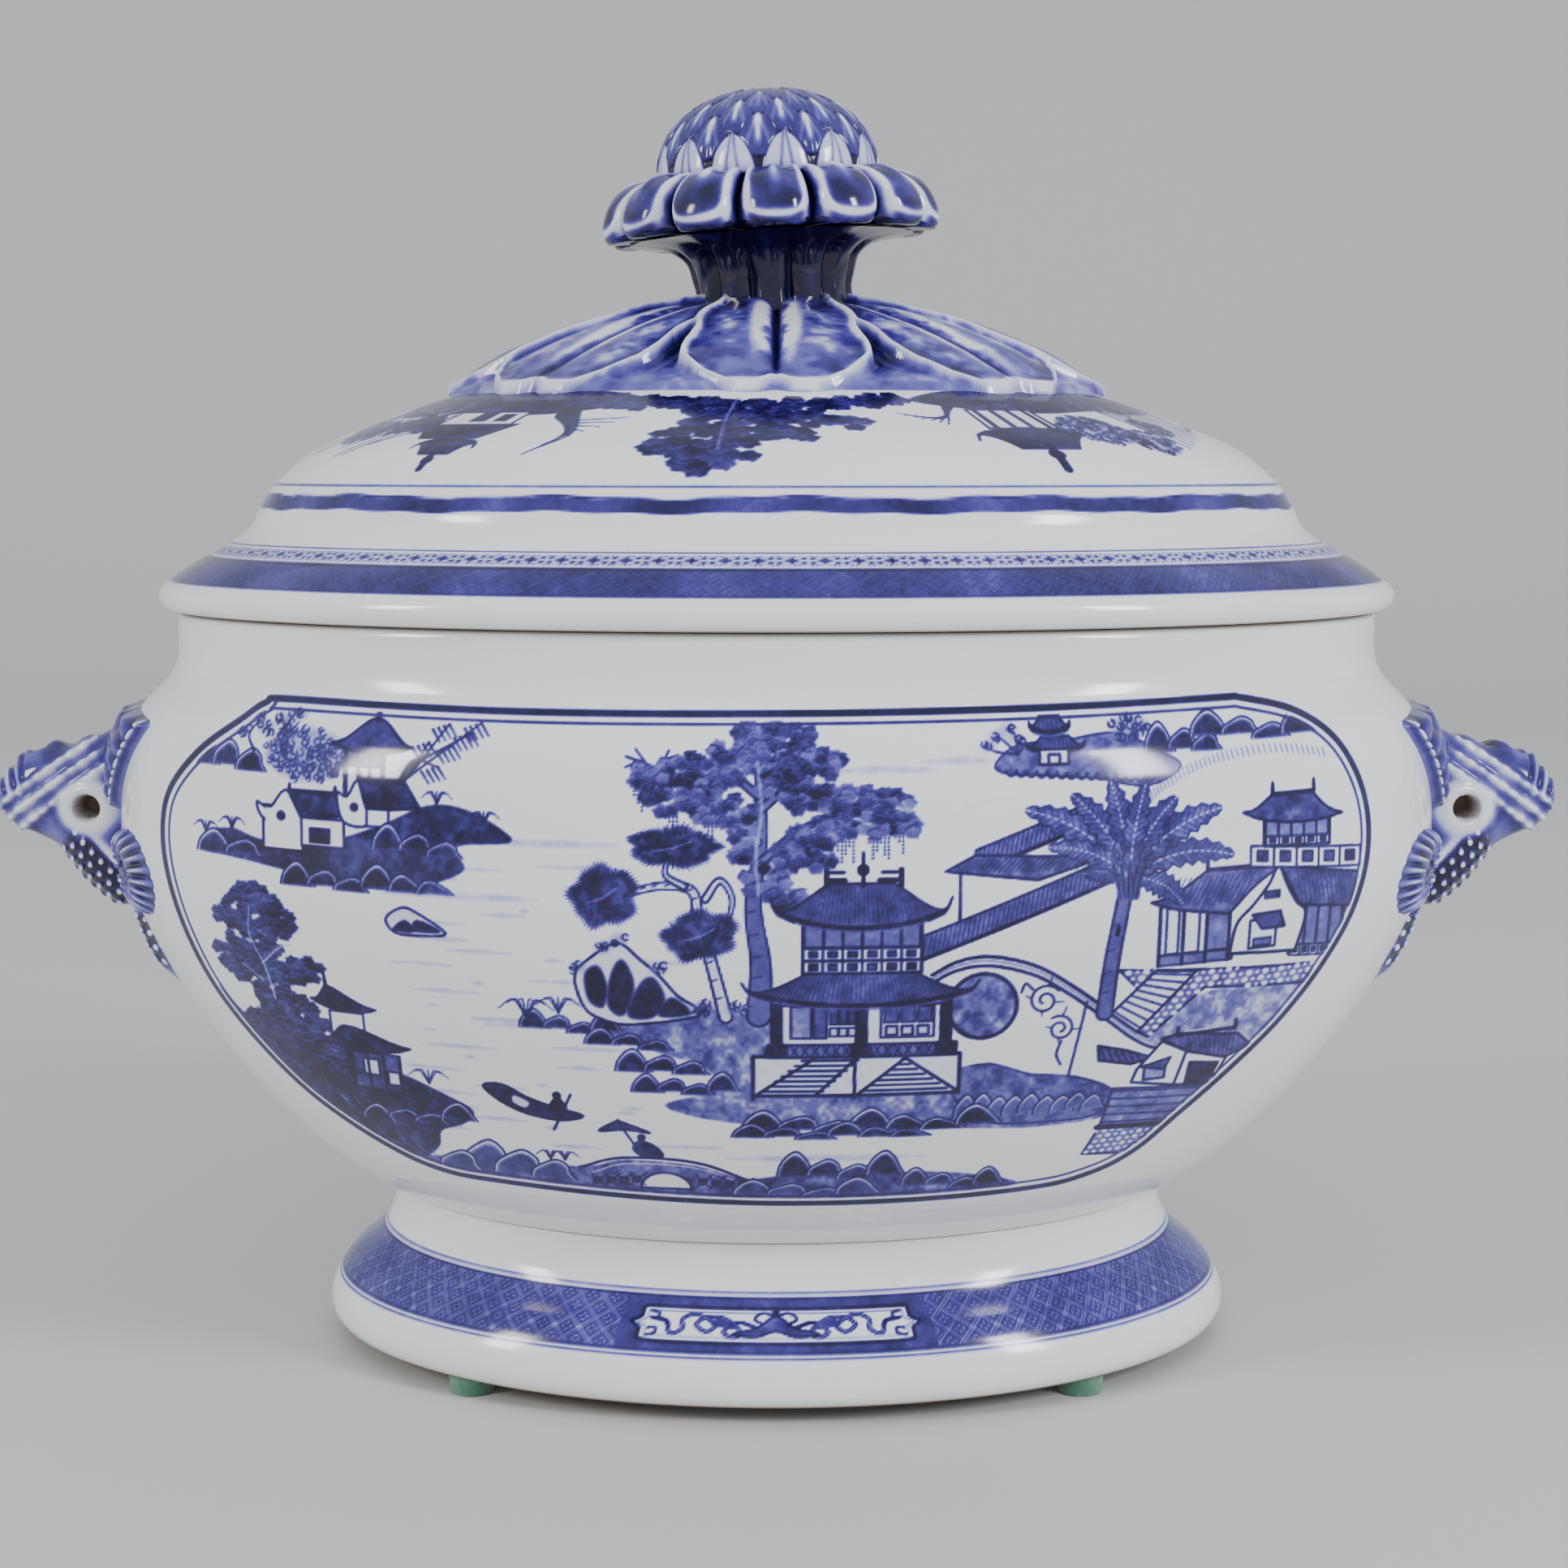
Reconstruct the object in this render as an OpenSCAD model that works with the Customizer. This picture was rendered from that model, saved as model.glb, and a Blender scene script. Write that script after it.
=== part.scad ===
// Oval covered tureen in porcelain: a bulbous bowl on a flared foot, two boar's-head
// handles, and a lift-off domed cover with a leaf collar and a bud knop.
// Z is up, X runs from handle to handle, and z = 0 is the table under the felt pads.
// Every oval is a turned profile squashed along Y by plan_ratio.

/* [Bowl] */
// Half length of the belly, along the handles
belly_r = 149; // [142:1:156]
// Height of the widest part of the belly
belly_z = 118; // [112:1:122]
// Half length of the neck under the cover
neck_r = 135.3; // [133:0.1:137]
// Height of the rim
rim_z = 167.2; // [165:0.1:172]
// Thickness of the bowl's wall
wall = 5.5; // [4:0.5:7]
// Depth of the oval over its length
plan_ratio = 0.74; // [0.7:0.01:0.8]

/* [Foot] */
// Half length of the waist where the foot meets the bowl
waist_r = 89; // [86:1:92]
// Height of the joint between foot and bowl
waist_z = 36.5; // [34:0.5:38]
// Half length of the foot's lower edge
foot_r = 102.5; // [100:0.5:106]
// Width of the flat edge that the foot stands on
foot_edge_w = 12; // [11:0.5:13]

/* [Felt pads] */
// Radius of a pad
pad_r = 5; // [4:0.5:5]
// Thickness of a pad
pad_t = 4; // [2:0.5:4]
// Distance of a pad from the middle, along X
pad_x = 66; // [55:1:70]

/* [Handles] */
// Distance from the middle to the root of a head
head_x = 140; // [138:1:142]
// Height of the root of a head
head_z = 118.5; // [116:0.5:121]
// Upward tilt of the snout in degrees
head_tilt = 10; // [5:1:14]
// Width of a head over its height
head_flat = 0.75; // [0.65:0.01:0.85]
// Radius of the firing vent through a head
vent_r = 3; // [2:0.5:3.5]
// Height of the mane above the wall
mane_t = 4.5; // [3:0.5:6]
// Half thickness of the beard
beard_half = 12; // [8:0.5:14]

/* [Cover] */
// Thickness of the cover
cover_wall = 5; // [4:0.5:6]
// Air between the bowl's rim and the closed cover
lift_gap = 0.3; // [0.3:0.1:0.6]
// Depth of the ring that drops inside the mouth
flange_h = 8; // [5:1:12]
// Space between that ring and the mouth
flange_gap = 1.5; // [1:0.5:3]
// Height of the flat on top of the cover, under the knop
crown_z = 228; // [227:0.5:229]
// Number of leaves in the collar
leaf_count = 8; // [6:1:10]

/* [Knop] */
// Radius of the stem at its foot
stem_r = 20; // [19:0.5:20]
// Number of flutes round the stem
flute_count = 12; // [8:1:16]
// Number of petals in the ruffle
petal_count = 13; // [9:1:16]
// Sideways lean of the knop in degrees, as the potter set it
knop_lean = 3; // [0:0.5:4]

/* [Hidden] */
$fn = 180;

seam = 0.15;                        // slip seam between pieces that are luted together
porcelain = "aliceblue";
cobalt = "slateblue";
cover_z = rim_z + lift_gap;         // underside of the cover's lip
mouth_r = neck_r - wall;            // half length of the bowl's mouth
floor_z = waist_z + wall;           // inside bottom of the bowl
shoulder = [142.5, 147.5];          // where the belly turns in to the neck

// Points along a cubic curve from a to d, with handles b and c
function bez(a, b, c, d, n) = [for (i = [0:n]) let (t = i / n, u = 1 - t)
    u * u * u * a + 3 * t * u * u * b + 3 * t * t * u * c + t * t * t * d];
// The same open outline moved t to its left
function inset(p, t) = [for (i = [0:len(p) - 1])
    let (a = p[max(i - 1, 0)], b = p[min(i + 1, len(p) - 1)], d = (b - a) / norm(b - a))
    p[i] + t * [-d[1], d[0]]];
function reversed(p) = [for (i = [len(p) - 1:-1:0]) p[i]];
// All points of an outline but its first
function rest(p) = [for (i = [1:len(p) - 1]) p[i]];

belly_curve = bez([waist_r, waist_z], [waist_r + 22, waist_z + 8],
    [belly_r, belly_z - 26.5], [belly_r, belly_z], 14);
shoulder_curve = bez([belly_r, belly_z], [belly_r, belly_z + 14], [148, 141.5], shoulder, 8);
neck_curve = bez(shoulder, [138, 152], [neck_r, 154], [neck_r, 160], 6);
bowl_outer = concat(belly_curve, rest(shoulder_curve), rest(neck_curve));

foot_curve = concat(
    bez([waist_r, waist_z - seam], [waist_r - 1, 30], [waist_r + 1, 25.5], [foot_r - 6, 20.5], 7),
    rest(bez([foot_r - 6, 20.5], [foot_r - 1, 16.5], [foot_r + 4, 9], [foot_r, pad_t + 0.6], 7)));

lip_curve = bez([136, cover_z], [140.2, cover_z], [140.8, 172.6], [136.8, 174], 7);
band_curve = bez([136.8, 174], [134, 176.2], [131, 178.3], [128, 179.6], 3);
cove_curve = bez([125, 181.6], [120.5, 183.6], [118, 186], [117, 189.5], 5);
knee_curve = bez([114, 194.5], [111, 197.5], [107.5, 202], [98.6, 205.6], 6);
dome_curve = bez([98.6, 205.6], [76, 215], [50, 222.5], [30, crown_z], 7);
cover_outer = concat(lip_curve, rest(band_curve), cove_curve, knee_curve, rest(dome_curve));
cover_inner = concat([[124, cover_z]],
    inset(concat(cove_curve, knee_curve, rest(dome_curve)), cover_wall));

// A turned profile squashed to the oval
module oval(points) {
    scale([1, plan_ratio, 1]) rotate_extrude() polygon(points);
}

module bowl_shell() {
    color(porcelain) oval(concat([[0, waist_z]], bowl_outer,
        [[neck_r, rim_z - 2], [neck_r - 1, rim_z - 0.4], [neck_r - 2, rim_z]],
        [[mouth_r + 2, rim_z], [mouth_r + 0.6, rim_z - 0.5], [mouth_r, rim_z - 2]],
        [for (p = reversed(inset(bowl_outer, wall))) if (p[1] > floor_z) p],
        [[0, floor_z]]));
}

module foot_stand() {
    inner = inset(foot_curve, -wall);
    color(porcelain) oval(concat(foot_curve, [[foot_r - 0.8, pad_t], [foot_r - foot_edge_w, pad_t]],
        [for (p = reversed(inner)) if (p[1] > pad_t + 6 && p[1] < waist_z - 2) p],
        [[waist_r - wall, waist_z - seam]]));
}

// Everything inside the bowl's outer wall, which trims what is luted to it
module wall_cutter() {
    outside = inset([for (p = concat(belly_curve, rest(shoulder_curve), rest(neck_curve)))
        if (p[1] > 60 && p[1] < 158) p], -seam);
    oval(concat([[0, outside[0][1]]], outside, [[0, outside[len(outside) - 1][1]]]));
}

// Places a shape turned about Z so that it points out of the bowl's end as a snout
module snout_axis() {
    translate([head_x, 0, head_z]) rotate([0, 90 - head_tilt, 0]) scale([1, head_flat, 1]) children();
}

head_base_r = 21.5;
head_curve = concat([[head_base_r, 0]],
    bez([head_base_r, 9], [20, 15], [17, 19], [12.6, 23], 5),
    [[11.4, 26], [11, 30]],
    bez([10.6, 32], [10, 35], [6, 38.8], [0, 39.2], 5));

module head() {
    difference() {
        snout_axis() rotate_extrude() polygon(concat([[0, -4], [head_base_r, -4]], head_curve));
        wall_cutter();
        translate([head_x + 15.8, 0, head_z + 4.1]) rotate([90, 0, 0])
            cylinder(r = vent_r, h = 60, center = true);
    }
}

// The crest of hair laid on the wall over and beside the head
mane_outline = [[-36, 121], [-40, 129], [-39.5, 137], [-35, 142.5], [-22, 146], [22, 146],
    [35, 142.5], [39.5, 137], [40, 129], [36, 121]];

module mane() {
    skin = inset([for (p = concat(belly_curve, rest(shoulder_curve), rest(neck_curve)))
        if (p[1] > 60 && p[1] < 158) p], -mane_t);
    difference() {
        intersection() {
            oval(concat([[0, skin[0][1]]], skin, [[0, skin[len(skin) - 1][1]]]));
            translate([100, 0, 0]) rotate([90, 0, 90]) linear_extrude(70) polygon(mane_outline);
        }
        wall_cutter();
        head_envelope();
    }
}

module head_envelope() {
    snout_axis() cylinder(r = head_base_r + seam, h = 60, center = true);
}

module beard() {
    outline = [[124, 101], [152, 101], [147.5, 94.5], [142.6, 87.6], [137.4, 83], [124, 83]];
    difference() {
        translate([0, beard_half, 0]) rotate([90, 0, 0]) linear_extrude(2 * beard_half) polygon(outline);
        wall_cutter();
        head_envelope();
    }
}

// side is -1 for the front ear and 1 for the back one
ear_y = 38;
ear_r = 7;

module ear(side) {
    difference() {
        translate([head_x - 2.9, side * ear_y, 110.6]) rotate([0, 0, side * 26.5])
            scale([0.9, 1.45, 1.35]) sphere(r = ear_r, $fn = 48);
        wall_cutter($fn = 360);
    }
}

module left() {
    mirror([1, 0, 0]) children();
}

// Pads sit in the middle of the foot's flat edge
module felt_pad(sx, sy) {
    mid = foot_r - 0.4 - foot_edge_w / 2;
    color("seagreen") translate([sx * pad_x, sy * plan_ratio * sqrt(mid * mid - pad_x * pad_x), 0])
        cylinder(r = pad_r, h = pad_t);
}

module cover_dome() {
    color(porcelain) oval(concat(cover_outer, [[0, crown_z]], [[0, crown_z - cover_wall]],
        reversed(cover_inner)));
}

module cover_flange() {
    outer = mouth_r - flange_gap;
    color(porcelain) oval([[outer, cover_z], [outer, cover_z - flange_h + 1],
        [outer - 1, cover_z - flange_h], [outer - 4, cover_z - flange_h], [outer - 4, cover_z]]);
}

// One lobed leaf lying along +X, from the stem out to its tip
module leaf_outline(length) {
    translate([length * 0.5, 0]) circle(r = length * 0.24);
    translate([length * 0.7, 0]) circle(r = length * 0.22);
    translate([length * 0.62, length * 0.14]) circle(r = length * 0.13);
    translate([length * 0.62, -length * 0.14]) circle(r = length * 0.13);
    translate([length * 0.84, 0]) circle(r = length * 0.13);
}

module cover_leaf_collar() {
    under = inset(bez([98.6, 205.6], [76, 215], [50, 222.5], [30, crown_z], 7), -seam);
    top = bez([22, 236], [45, 232], [58, 225.5], [76, 216.2], 6);
    color(cobalt) difference() {
        intersection() {
            oval(concat([[18, crown_z + seam]], reversed(under), [[76, 216.2]], reversed(top),
                [[18, 236]]));
            scale([1, plan_ratio, 1]) translate([0, 0, crown_z - 30]) linear_extrude(60) union() {
                circle(r = 36);
                for (i = [0:leaf_count - 1]) rotate(i * 360 / leaf_count + 90) leaf_outline(74);
            }
        }
        cylinder(r = stem_r + 0.8, h = 400);
    }
}

// Leans the knop about the middle of the crown
module leaned() {
    translate([0, 0, crown_z]) rotate([0, -knop_lean, 0]) children();
}

stem_h = 23;                        // stem, from crown to ruffle
ruffle_h = 12;                      // thickness of the ruffle

module knop_stem() {
    profile = concat([[0, -3], [stem_r, -3], [stem_r, 0]],
        bez([stem_r, 1], [17.4, 6], [17, 15], [22.5, stem_h], 7), [[0, stem_h]]);
    color("midnightblue") difference() {
        leaned() rotate_extrude() polygon(profile);
        for (i = [0:flute_count - 1]) leaned() rotate([0, 0, i * 360 / flute_count])
            translate([stem_r - 0.8, 0, 2]) cylinder(r = 1.7, h = 15, $fn = 24);
        translate([-40, -40, crown_z - 20 + seam]) cube([80, 80, 20]);
    }
}

module knop_calyx() {
    profile = concat([[0, 0], [22, 0]],
        bez([28, -1], [37, -3.5], [42, 3.5], [33.5, 9.5], 7), [[26, ruffle_h], [0, ruffle_h]]);
    color(cobalt) leaned() translate([0, 0, stem_h + seam]) intersection() {
        rotate_extrude() polygon(profile);
        translate([0, 0, -10]) linear_extrude(40) union() {
            circle(r = 29);
            for (i = [0:petal_count - 1]) rotate((i + 0.5) * 360 / petal_count)
                translate([28.6, 0]) circle(r = 8.8);
        }
    }
}

module knop_bud() {
    profile = concat([[0, 0], [24, 0]], bez([25, 1], [26.5, 12], [14.5, 18.6], [0, 21], 10));
    color(porcelain) leaned() translate([0, 0, stem_h + ruffle_h + 2 * seam])
        rotate_extrude() polygon(profile);
}

bowl_shell();
foot_stand();
color(cobalt) left() head();  // handle_head_left
color(cobalt) head();  // handle_head_right
color(cobalt) left() mane();  // handle_mane_left
color(cobalt) mane();  // handle_mane_right
color(cobalt) left() beard();  // handle_beard_left
color(cobalt) beard();  // handle_beard_right
color(cobalt) left() ear(-1);  // ear_left_front
color(cobalt) left() ear(1);  // ear_left_back
color(cobalt) ear(-1);  // ear_right_front
color(cobalt) ear(1);  // ear_right_back
felt_pad(-1, -1);  // felt_pad_1
felt_pad(1, -1);  // felt_pad_2
felt_pad(1, 1);  // felt_pad_3
felt_pad(-1, 1);  // felt_pad_4
cover_dome();
cover_flange();
cover_leaf_collar();
knop_stem();
knop_calyx();
knop_bud();
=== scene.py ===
import math

import bpy
import numpy as np
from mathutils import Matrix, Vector


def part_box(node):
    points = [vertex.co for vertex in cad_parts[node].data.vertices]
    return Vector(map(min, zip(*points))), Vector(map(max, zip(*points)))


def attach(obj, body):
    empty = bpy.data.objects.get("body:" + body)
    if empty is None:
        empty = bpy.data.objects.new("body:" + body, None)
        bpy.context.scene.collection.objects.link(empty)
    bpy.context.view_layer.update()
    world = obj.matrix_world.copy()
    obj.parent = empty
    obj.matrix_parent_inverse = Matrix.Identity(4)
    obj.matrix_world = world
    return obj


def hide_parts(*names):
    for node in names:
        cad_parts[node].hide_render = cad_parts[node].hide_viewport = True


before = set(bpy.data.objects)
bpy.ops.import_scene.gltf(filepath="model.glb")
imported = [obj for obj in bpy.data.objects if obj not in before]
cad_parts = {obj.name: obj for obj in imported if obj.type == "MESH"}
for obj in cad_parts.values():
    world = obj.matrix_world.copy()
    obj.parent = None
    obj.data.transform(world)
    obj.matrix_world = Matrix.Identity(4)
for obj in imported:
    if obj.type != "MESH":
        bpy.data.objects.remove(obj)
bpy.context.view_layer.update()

mm = 0.001
tau = 2 * math.pi

# plain sizes in millimetres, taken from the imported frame
bowlLow, bowlHigh = [np.array(corner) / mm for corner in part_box("bowl_shell")]
footLow = np.array(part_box("foot_stand")[0]) / mm
coverLow, coverHigh = [np.array(corner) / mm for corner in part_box("cover_dome")]
flangeLow, flangeHigh = [np.array(corner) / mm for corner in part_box("cover_flange")]
bellyR = bowlHigh[0]
planRatio = bowlHigh[1] / bowlHigh[0]
rimZ = bowlHigh[2]
waistZ = bowlLow[2]
crownZ = coverHigh[2]
lipZ = coverLow[2]
padTop = footLow[2]
print("frame: belly", round(bellyR, 1), "plan ratio", round(planRatio, 3), "crown", round(crownZ, 1))


def curve(a, b, c, d, n):
    t = np.linspace(0, 1, n)[:, None]
    a, b, c, d = (np.array(p, float) for p in (a, b, c, d))
    return (1 - t) ** 3 * a + 3 * t * (1 - t) ** 2 * b + 3 * t * t * (1 - t) * c + t ** 3 * d


def join(*lines):
    return np.vstack([lines[0]] + [line[1:] if np.allclose(line[0], before[-1]) else line
                                   for before, line in zip(lines, lines[1:])])


def evenly(line, step):
    length = np.r_[0, np.cumsum(np.hypot(*np.diff(line, axis=0).T))]
    at = np.linspace(0, length[-1], max(3, int(length[-1] / step) + 1))
    return np.stack([np.interp(at, length, line[:, k]) for k in range(line.shape[1])], 1)


def pushed(line, distance):  # the same outline moved to its left
    slope = np.gradient(line, axis=0)
    slope /= np.maximum(np.hypot(slope[:, 0], slope[:, 1]), 1e-9)[:, None]
    return line + distance * np.stack([-slope[:, 1], slope[:, 0]], 1)


def rounded(points, n=8, closed=False):  # a smooth line through given points
    p = np.array(points, float)
    q = np.vstack([p[-1], p, p[0], p[1]]) if closed else np.vstack([2 * p[0] - p[1], p, 2 * p[-1] - p[-2]])
    t = np.linspace(0, 1, n, endpoint=False)[:, None]
    parts = []
    for a, b, c, d in zip(q, q[1:], q[2:], q[3:]):
        parts.append(0.5 * (2 * b + (c - a) * t + (2 * a - 5 * b + 4 * c - d) * t * t
                            + (3 * b - a - 3 * c + d) * t ** 3))
    return np.vstack(parts + ([] if closed else [p[-1:]]))


def ovalRing(cols):  # angles round the oval, 0 at the front, starting at the back
    return np.linspace(-math.pi, math.pi, cols, endpoint=False)


def turned(profile, angles):  # an outline of (radius, height) turned and squashed to the oval
    r, z = profile[:, :1], profile[:, 1:]
    return np.stack([r * np.sin(angles), -planRatio * r * np.cos(angles), z + 0 * angles], -1)


def ringLength(angles):  # how far round the oval each angle is, 0 to 1
    fine = np.linspace(-math.pi, math.pi, 4001)
    step = np.hypot(np.cos(fine), planRatio * np.sin(fine))
    length = np.r_[0, np.cumsum((step[1:] + step[:-1]) / 2)]
    return np.interp(angles, fine, length / length[-1])


def skin(name, points, marks, finish, body, wrap=True, closed=False, ends=(False, False)):
    rows, cols = points.shape[:2]
    i = np.arange(rows if closed else rows - 1)[:, None]
    j = np.arange(cols if wrap else cols - 1)[None, :]
    down, right = (i + 1) % rows, (j + 1) % cols
    faces = np.stack([i * cols + j, i * cols + right, down * cols + right, down * cols + j], -1)
    verts = points.reshape(-1, 3) * mm
    faces = faces.reshape(-1, 4)
    hubs, fans = [], []
    for row, wanted in ((0, ends[0]), (rows - 1, ends[1])):  # a fan of triangles closes each pole
        if wanted:
            hub = len(verts) + len(hubs)
            hubs.append(points[row].mean(0) * mm)
            ring = row * cols + np.arange(cols)
            after = np.roll(ring, -1)
            fans.append(np.stack([np.full(cols, hub), *((after, ring) if row == 0 else (ring, after))], -1))
    if hubs:
        verts = np.vstack([verts, hubs])
    corners = np.concatenate([faces.ravel()] + [fan.ravel() for fan in fans])
    sizes = np.concatenate([np.full(len(faces), 4)] + [np.full(len(fan), 3) for fan in fans])
    mesh = bpy.data.meshes.new(name)
    mesh.vertices.add(len(verts))
    mesh.vertices.foreach_set("co", verts.astype(np.float32).ravel())
    mesh.loops.add(len(corners))
    mesh.loops.foreach_set("vertex_index", corners.astype(np.int32))
    mesh.polygons.add(len(sizes))
    mesh.polygons.foreach_set("loop_start", np.r_[0, np.cumsum(sizes)[:-1]].astype(np.int32))
    mesh.update(calc_edges=True)
    for mark, values in marks.items():
        flat = np.broadcast_to(values, (rows, cols)).astype(np.float32)
        poles = [flat[row].mean() for row, wanted in ((0, ends[0]), (rows - 1, ends[1])) if wanted]
        held = np.r_[flat.ravel(), poles].astype(np.float32)
        mesh.attributes.new(mark, "FLOAT", "POINT").data.foreach_set("value", held)
    mesh.shade_smooth()
    mesh.update()
    piece = bpy.data.objects.new(name, mesh)
    bpy.context.collection.objects.link(piece)
    mesh.materials.append(finish)
    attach(piece, body)
    return piece


def node(tree, kind, **values):
    made = tree.nodes.new(kind)
    for key, value in values.items():
        if key in made.inputs:
            made.inputs[key].default_value = value
        else:
            setattr(made, key, value)
    return made


def wire(tree, *pairs):
    for start, end in pairs:
        tree.links.new(start, end)


glaze = {
    "white": (0.86, 0.88, 0.89, 1),
    "cream": (0.82, 0.83, 0.81, 1),
    "washes": ((0.14, (0.52, 0.53, 0.76, 1)), (0.34, (0.14, 0.13, 0.46, 1)),
               (0.56, (0.045, 0.032, 0.23, 1)), (0.80, (0.016, 0.009, 0.088, 1))),
    "darkest": (0.006, 0.004, 0.032, 1),
    "biscuit": (0.33, 0.25, 0.185, 1),
    "gloss": 0.07,
    "orangePeel": 0.02,
}


def glazeFinish(name, wear=0.25):
    finish = bpy.data.materials.new(name)
    finish.use_nodes = True
    tree = finish.node_tree
    tree.nodes.clear()
    out = node(tree, "ShaderNodeOutputMaterial")
    shader = node(tree, "ShaderNodeBsdfPrincipled")
    shader.inputs["IOR"].default_value = 1.5
    place = node(tree, "ShaderNodeTexCoord")
    ink = node(tree, "ShaderNodeAttribute", attribute_name="cobalt")
    bare = node(tree, "ShaderNodeAttribute", attribute_name="bare")

    cloud = node(tree, "ShaderNodeTexNoise", Scale=9.0, Detail=3.0, Roughness=0.55)
    body = node(tree, "ShaderNodeMix", data_type="RGBA")
    body.inputs[6].default_value = glaze["white"]
    body.inputs[7].default_value = glaze["cream"]

    # brush marks make the cobalt uneven
    brush = node(tree, "ShaderNodeTexNoise", Scale=420.0, Detail=5.0, Roughness=0.65)
    puddle = node(tree, "ShaderNodeTexNoise", Scale=75.0, Detail=2.0, Roughness=0.5)
    uneven = node(tree, "ShaderNodeMath", operation="ADD")
    spread = node(tree, "ShaderNodeMapRange")
    spread.inputs[1].default_value, spread.inputs[2].default_value = 0.6, 1.4
    spread.inputs[3].default_value, spread.inputs[4].default_value = 0.78, 1.30
    amount = node(tree, "ShaderNodeMath", operation="MULTIPLY")
    ramp = node(tree, "ShaderNodeValToRGB")
    wire(tree, (place.outputs["Object"], cloud.inputs["Vector"]),
         (place.outputs["Object"], brush.inputs["Vector"]),
         (place.outputs["Object"], puddle.inputs["Vector"]), (cloud.outputs[0], body.inputs[0]),
         (brush.outputs[0], uneven.inputs[0]), (puddle.outputs[0], uneven.inputs[1]),
         (uneven.outputs[0], spread.inputs[0]), (spread.outputs[0], amount.inputs[1]),
         (ink.outputs["Fac"], amount.inputs[0]), (amount.outputs[0], ramp.inputs[0]))
    stops = ramp.color_ramp.elements
    stops[0].color = glaze["white"]
    for at, colour in glaze["washes"]:
        stops.new(at).color = colour
    stops[len(stops) - 1].color = glaze["darkest"]

    painted = node(tree, "ShaderNodeMix", data_type="RGBA")
    edge = node(tree, "ShaderNodeMapRange")
    edge.inputs[1].default_value, edge.inputs[2].default_value = 0.0, 0.06
    fired = node(tree, "ShaderNodeMix", data_type="RGBA")
    fired.inputs[7].default_value = glaze["biscuit"]
    wire(tree, (amount.outputs[0], edge.inputs[0]), (edge.outputs[0], painted.inputs[0]),
         (body.outputs[2], painted.inputs[6]), (ramp.outputs[0], painted.inputs[7]),
         (painted.outputs[2], fired.inputs[6]), (bare.outputs["Fac"], fired.inputs[0]))

    # fine crackle under the gloss
    crackle = node(tree, "ShaderNodeTexVoronoi", feature="DISTANCE_TO_EDGE", Scale=85.0)
    hair = node(tree, "ShaderNodeMapRange")
    hair.inputs[1].default_value, hair.inputs[2].default_value = 0.0, 0.012
    hair.inputs[3].default_value, hair.inputs[4].default_value = 1.0 - 0.16 * wear, 1.0
    crazed = node(tree, "ShaderNodeMix", data_type="RGBA", blend_type="MULTIPLY")
    crazed.inputs[0].default_value = 1.0
    wire(tree, (place.outputs["Object"], crackle.inputs["Vector"]), (crackle.outputs[0], hair.inputs[0]),
         (fired.outputs[2], crazed.inputs[6]), (hair.outputs[0], crazed.inputs[7]),
         (crazed.outputs[2], shader.inputs["Base Color"]))

    rough = node(tree, "ShaderNodeMapRange")
    rough.inputs[3].default_value, rough.inputs[4].default_value = glaze["gloss"], glaze["gloss"] + 0.12
    dull = node(tree, "ShaderNodeMath", operation="MULTIPLY_ADD")
    dull.inputs[1].default_value = 0.6
    swell = node(tree, "ShaderNodeTexNoise", Scale=60.0, Detail=2.0)
    bump = node(tree, "ShaderNodeBump", Strength=0.12, Distance=glaze["orangePeel"] * mm * 10)
    wire(tree, (puddle.outputs[0], rough.inputs[0]), (bare.outputs["Fac"], dull.inputs[0]),
         (rough.outputs[0], dull.inputs[2]), (dull.outputs[0], shader.inputs["Roughness"]),
         (place.outputs["Object"], swell.inputs["Vector"]), (swell.outputs[0], bump.inputs["Height"]),
         (bump.outputs[0], shader.inputs["Normal"]), (shader.outputs[0], out.inputs[0]))
    return finish


felt = {"green": (0.035, 0.16, 0.085, 1), "pale": (0.10, 0.28, 0.17, 1)}


def feltFinish():
    finish = bpy.data.materials.new("pressed green felt")
    finish.use_nodes = True
    tree = finish.node_tree
    shader = tree.nodes["Principled BSDF"]
    shader.inputs["Roughness"].default_value = 0.95
    shader.inputs["Sheen Weight"].default_value = 0.6
    place = node(tree, "ShaderNodeTexCoord")
    fibre = node(tree, "ShaderNodeTexNoise", Scale=1400.0, Detail=6.0, Roughness=0.8)
    tint = node(tree, "ShaderNodeMix", data_type="RGBA")
    tint.inputs[6].default_value, tint.inputs[7].default_value = felt["green"], felt["pale"]
    nap = node(tree, "ShaderNodeBump", Strength=0.9, Distance=0.5 * mm)
    wire(tree, (place.outputs["Object"], fibre.inputs["Vector"]), (fibre.outputs[0], tint.inputs[0]),
         (tint.outputs[2], shader.inputs["Base Color"]), (fibre.outputs[0], nap.inputs["Height"]),
         (nap.outputs[0], shader.inputs["Normal"]))
    return finish


whiteGlaze = glazeFinish("bluish white glaze")
paintedGlaze = glazeFinish("cobalt painting under glaze")
reliefGlaze = glazeFinish("cobalt pooled in moulding", wear=0.1)
greenFelt = feltFinish()


# painting kit: a flat sheet of cobalt amounts, 0 bare glaze to 1 darkest

rng = np.random.default_rng(11)


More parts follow.
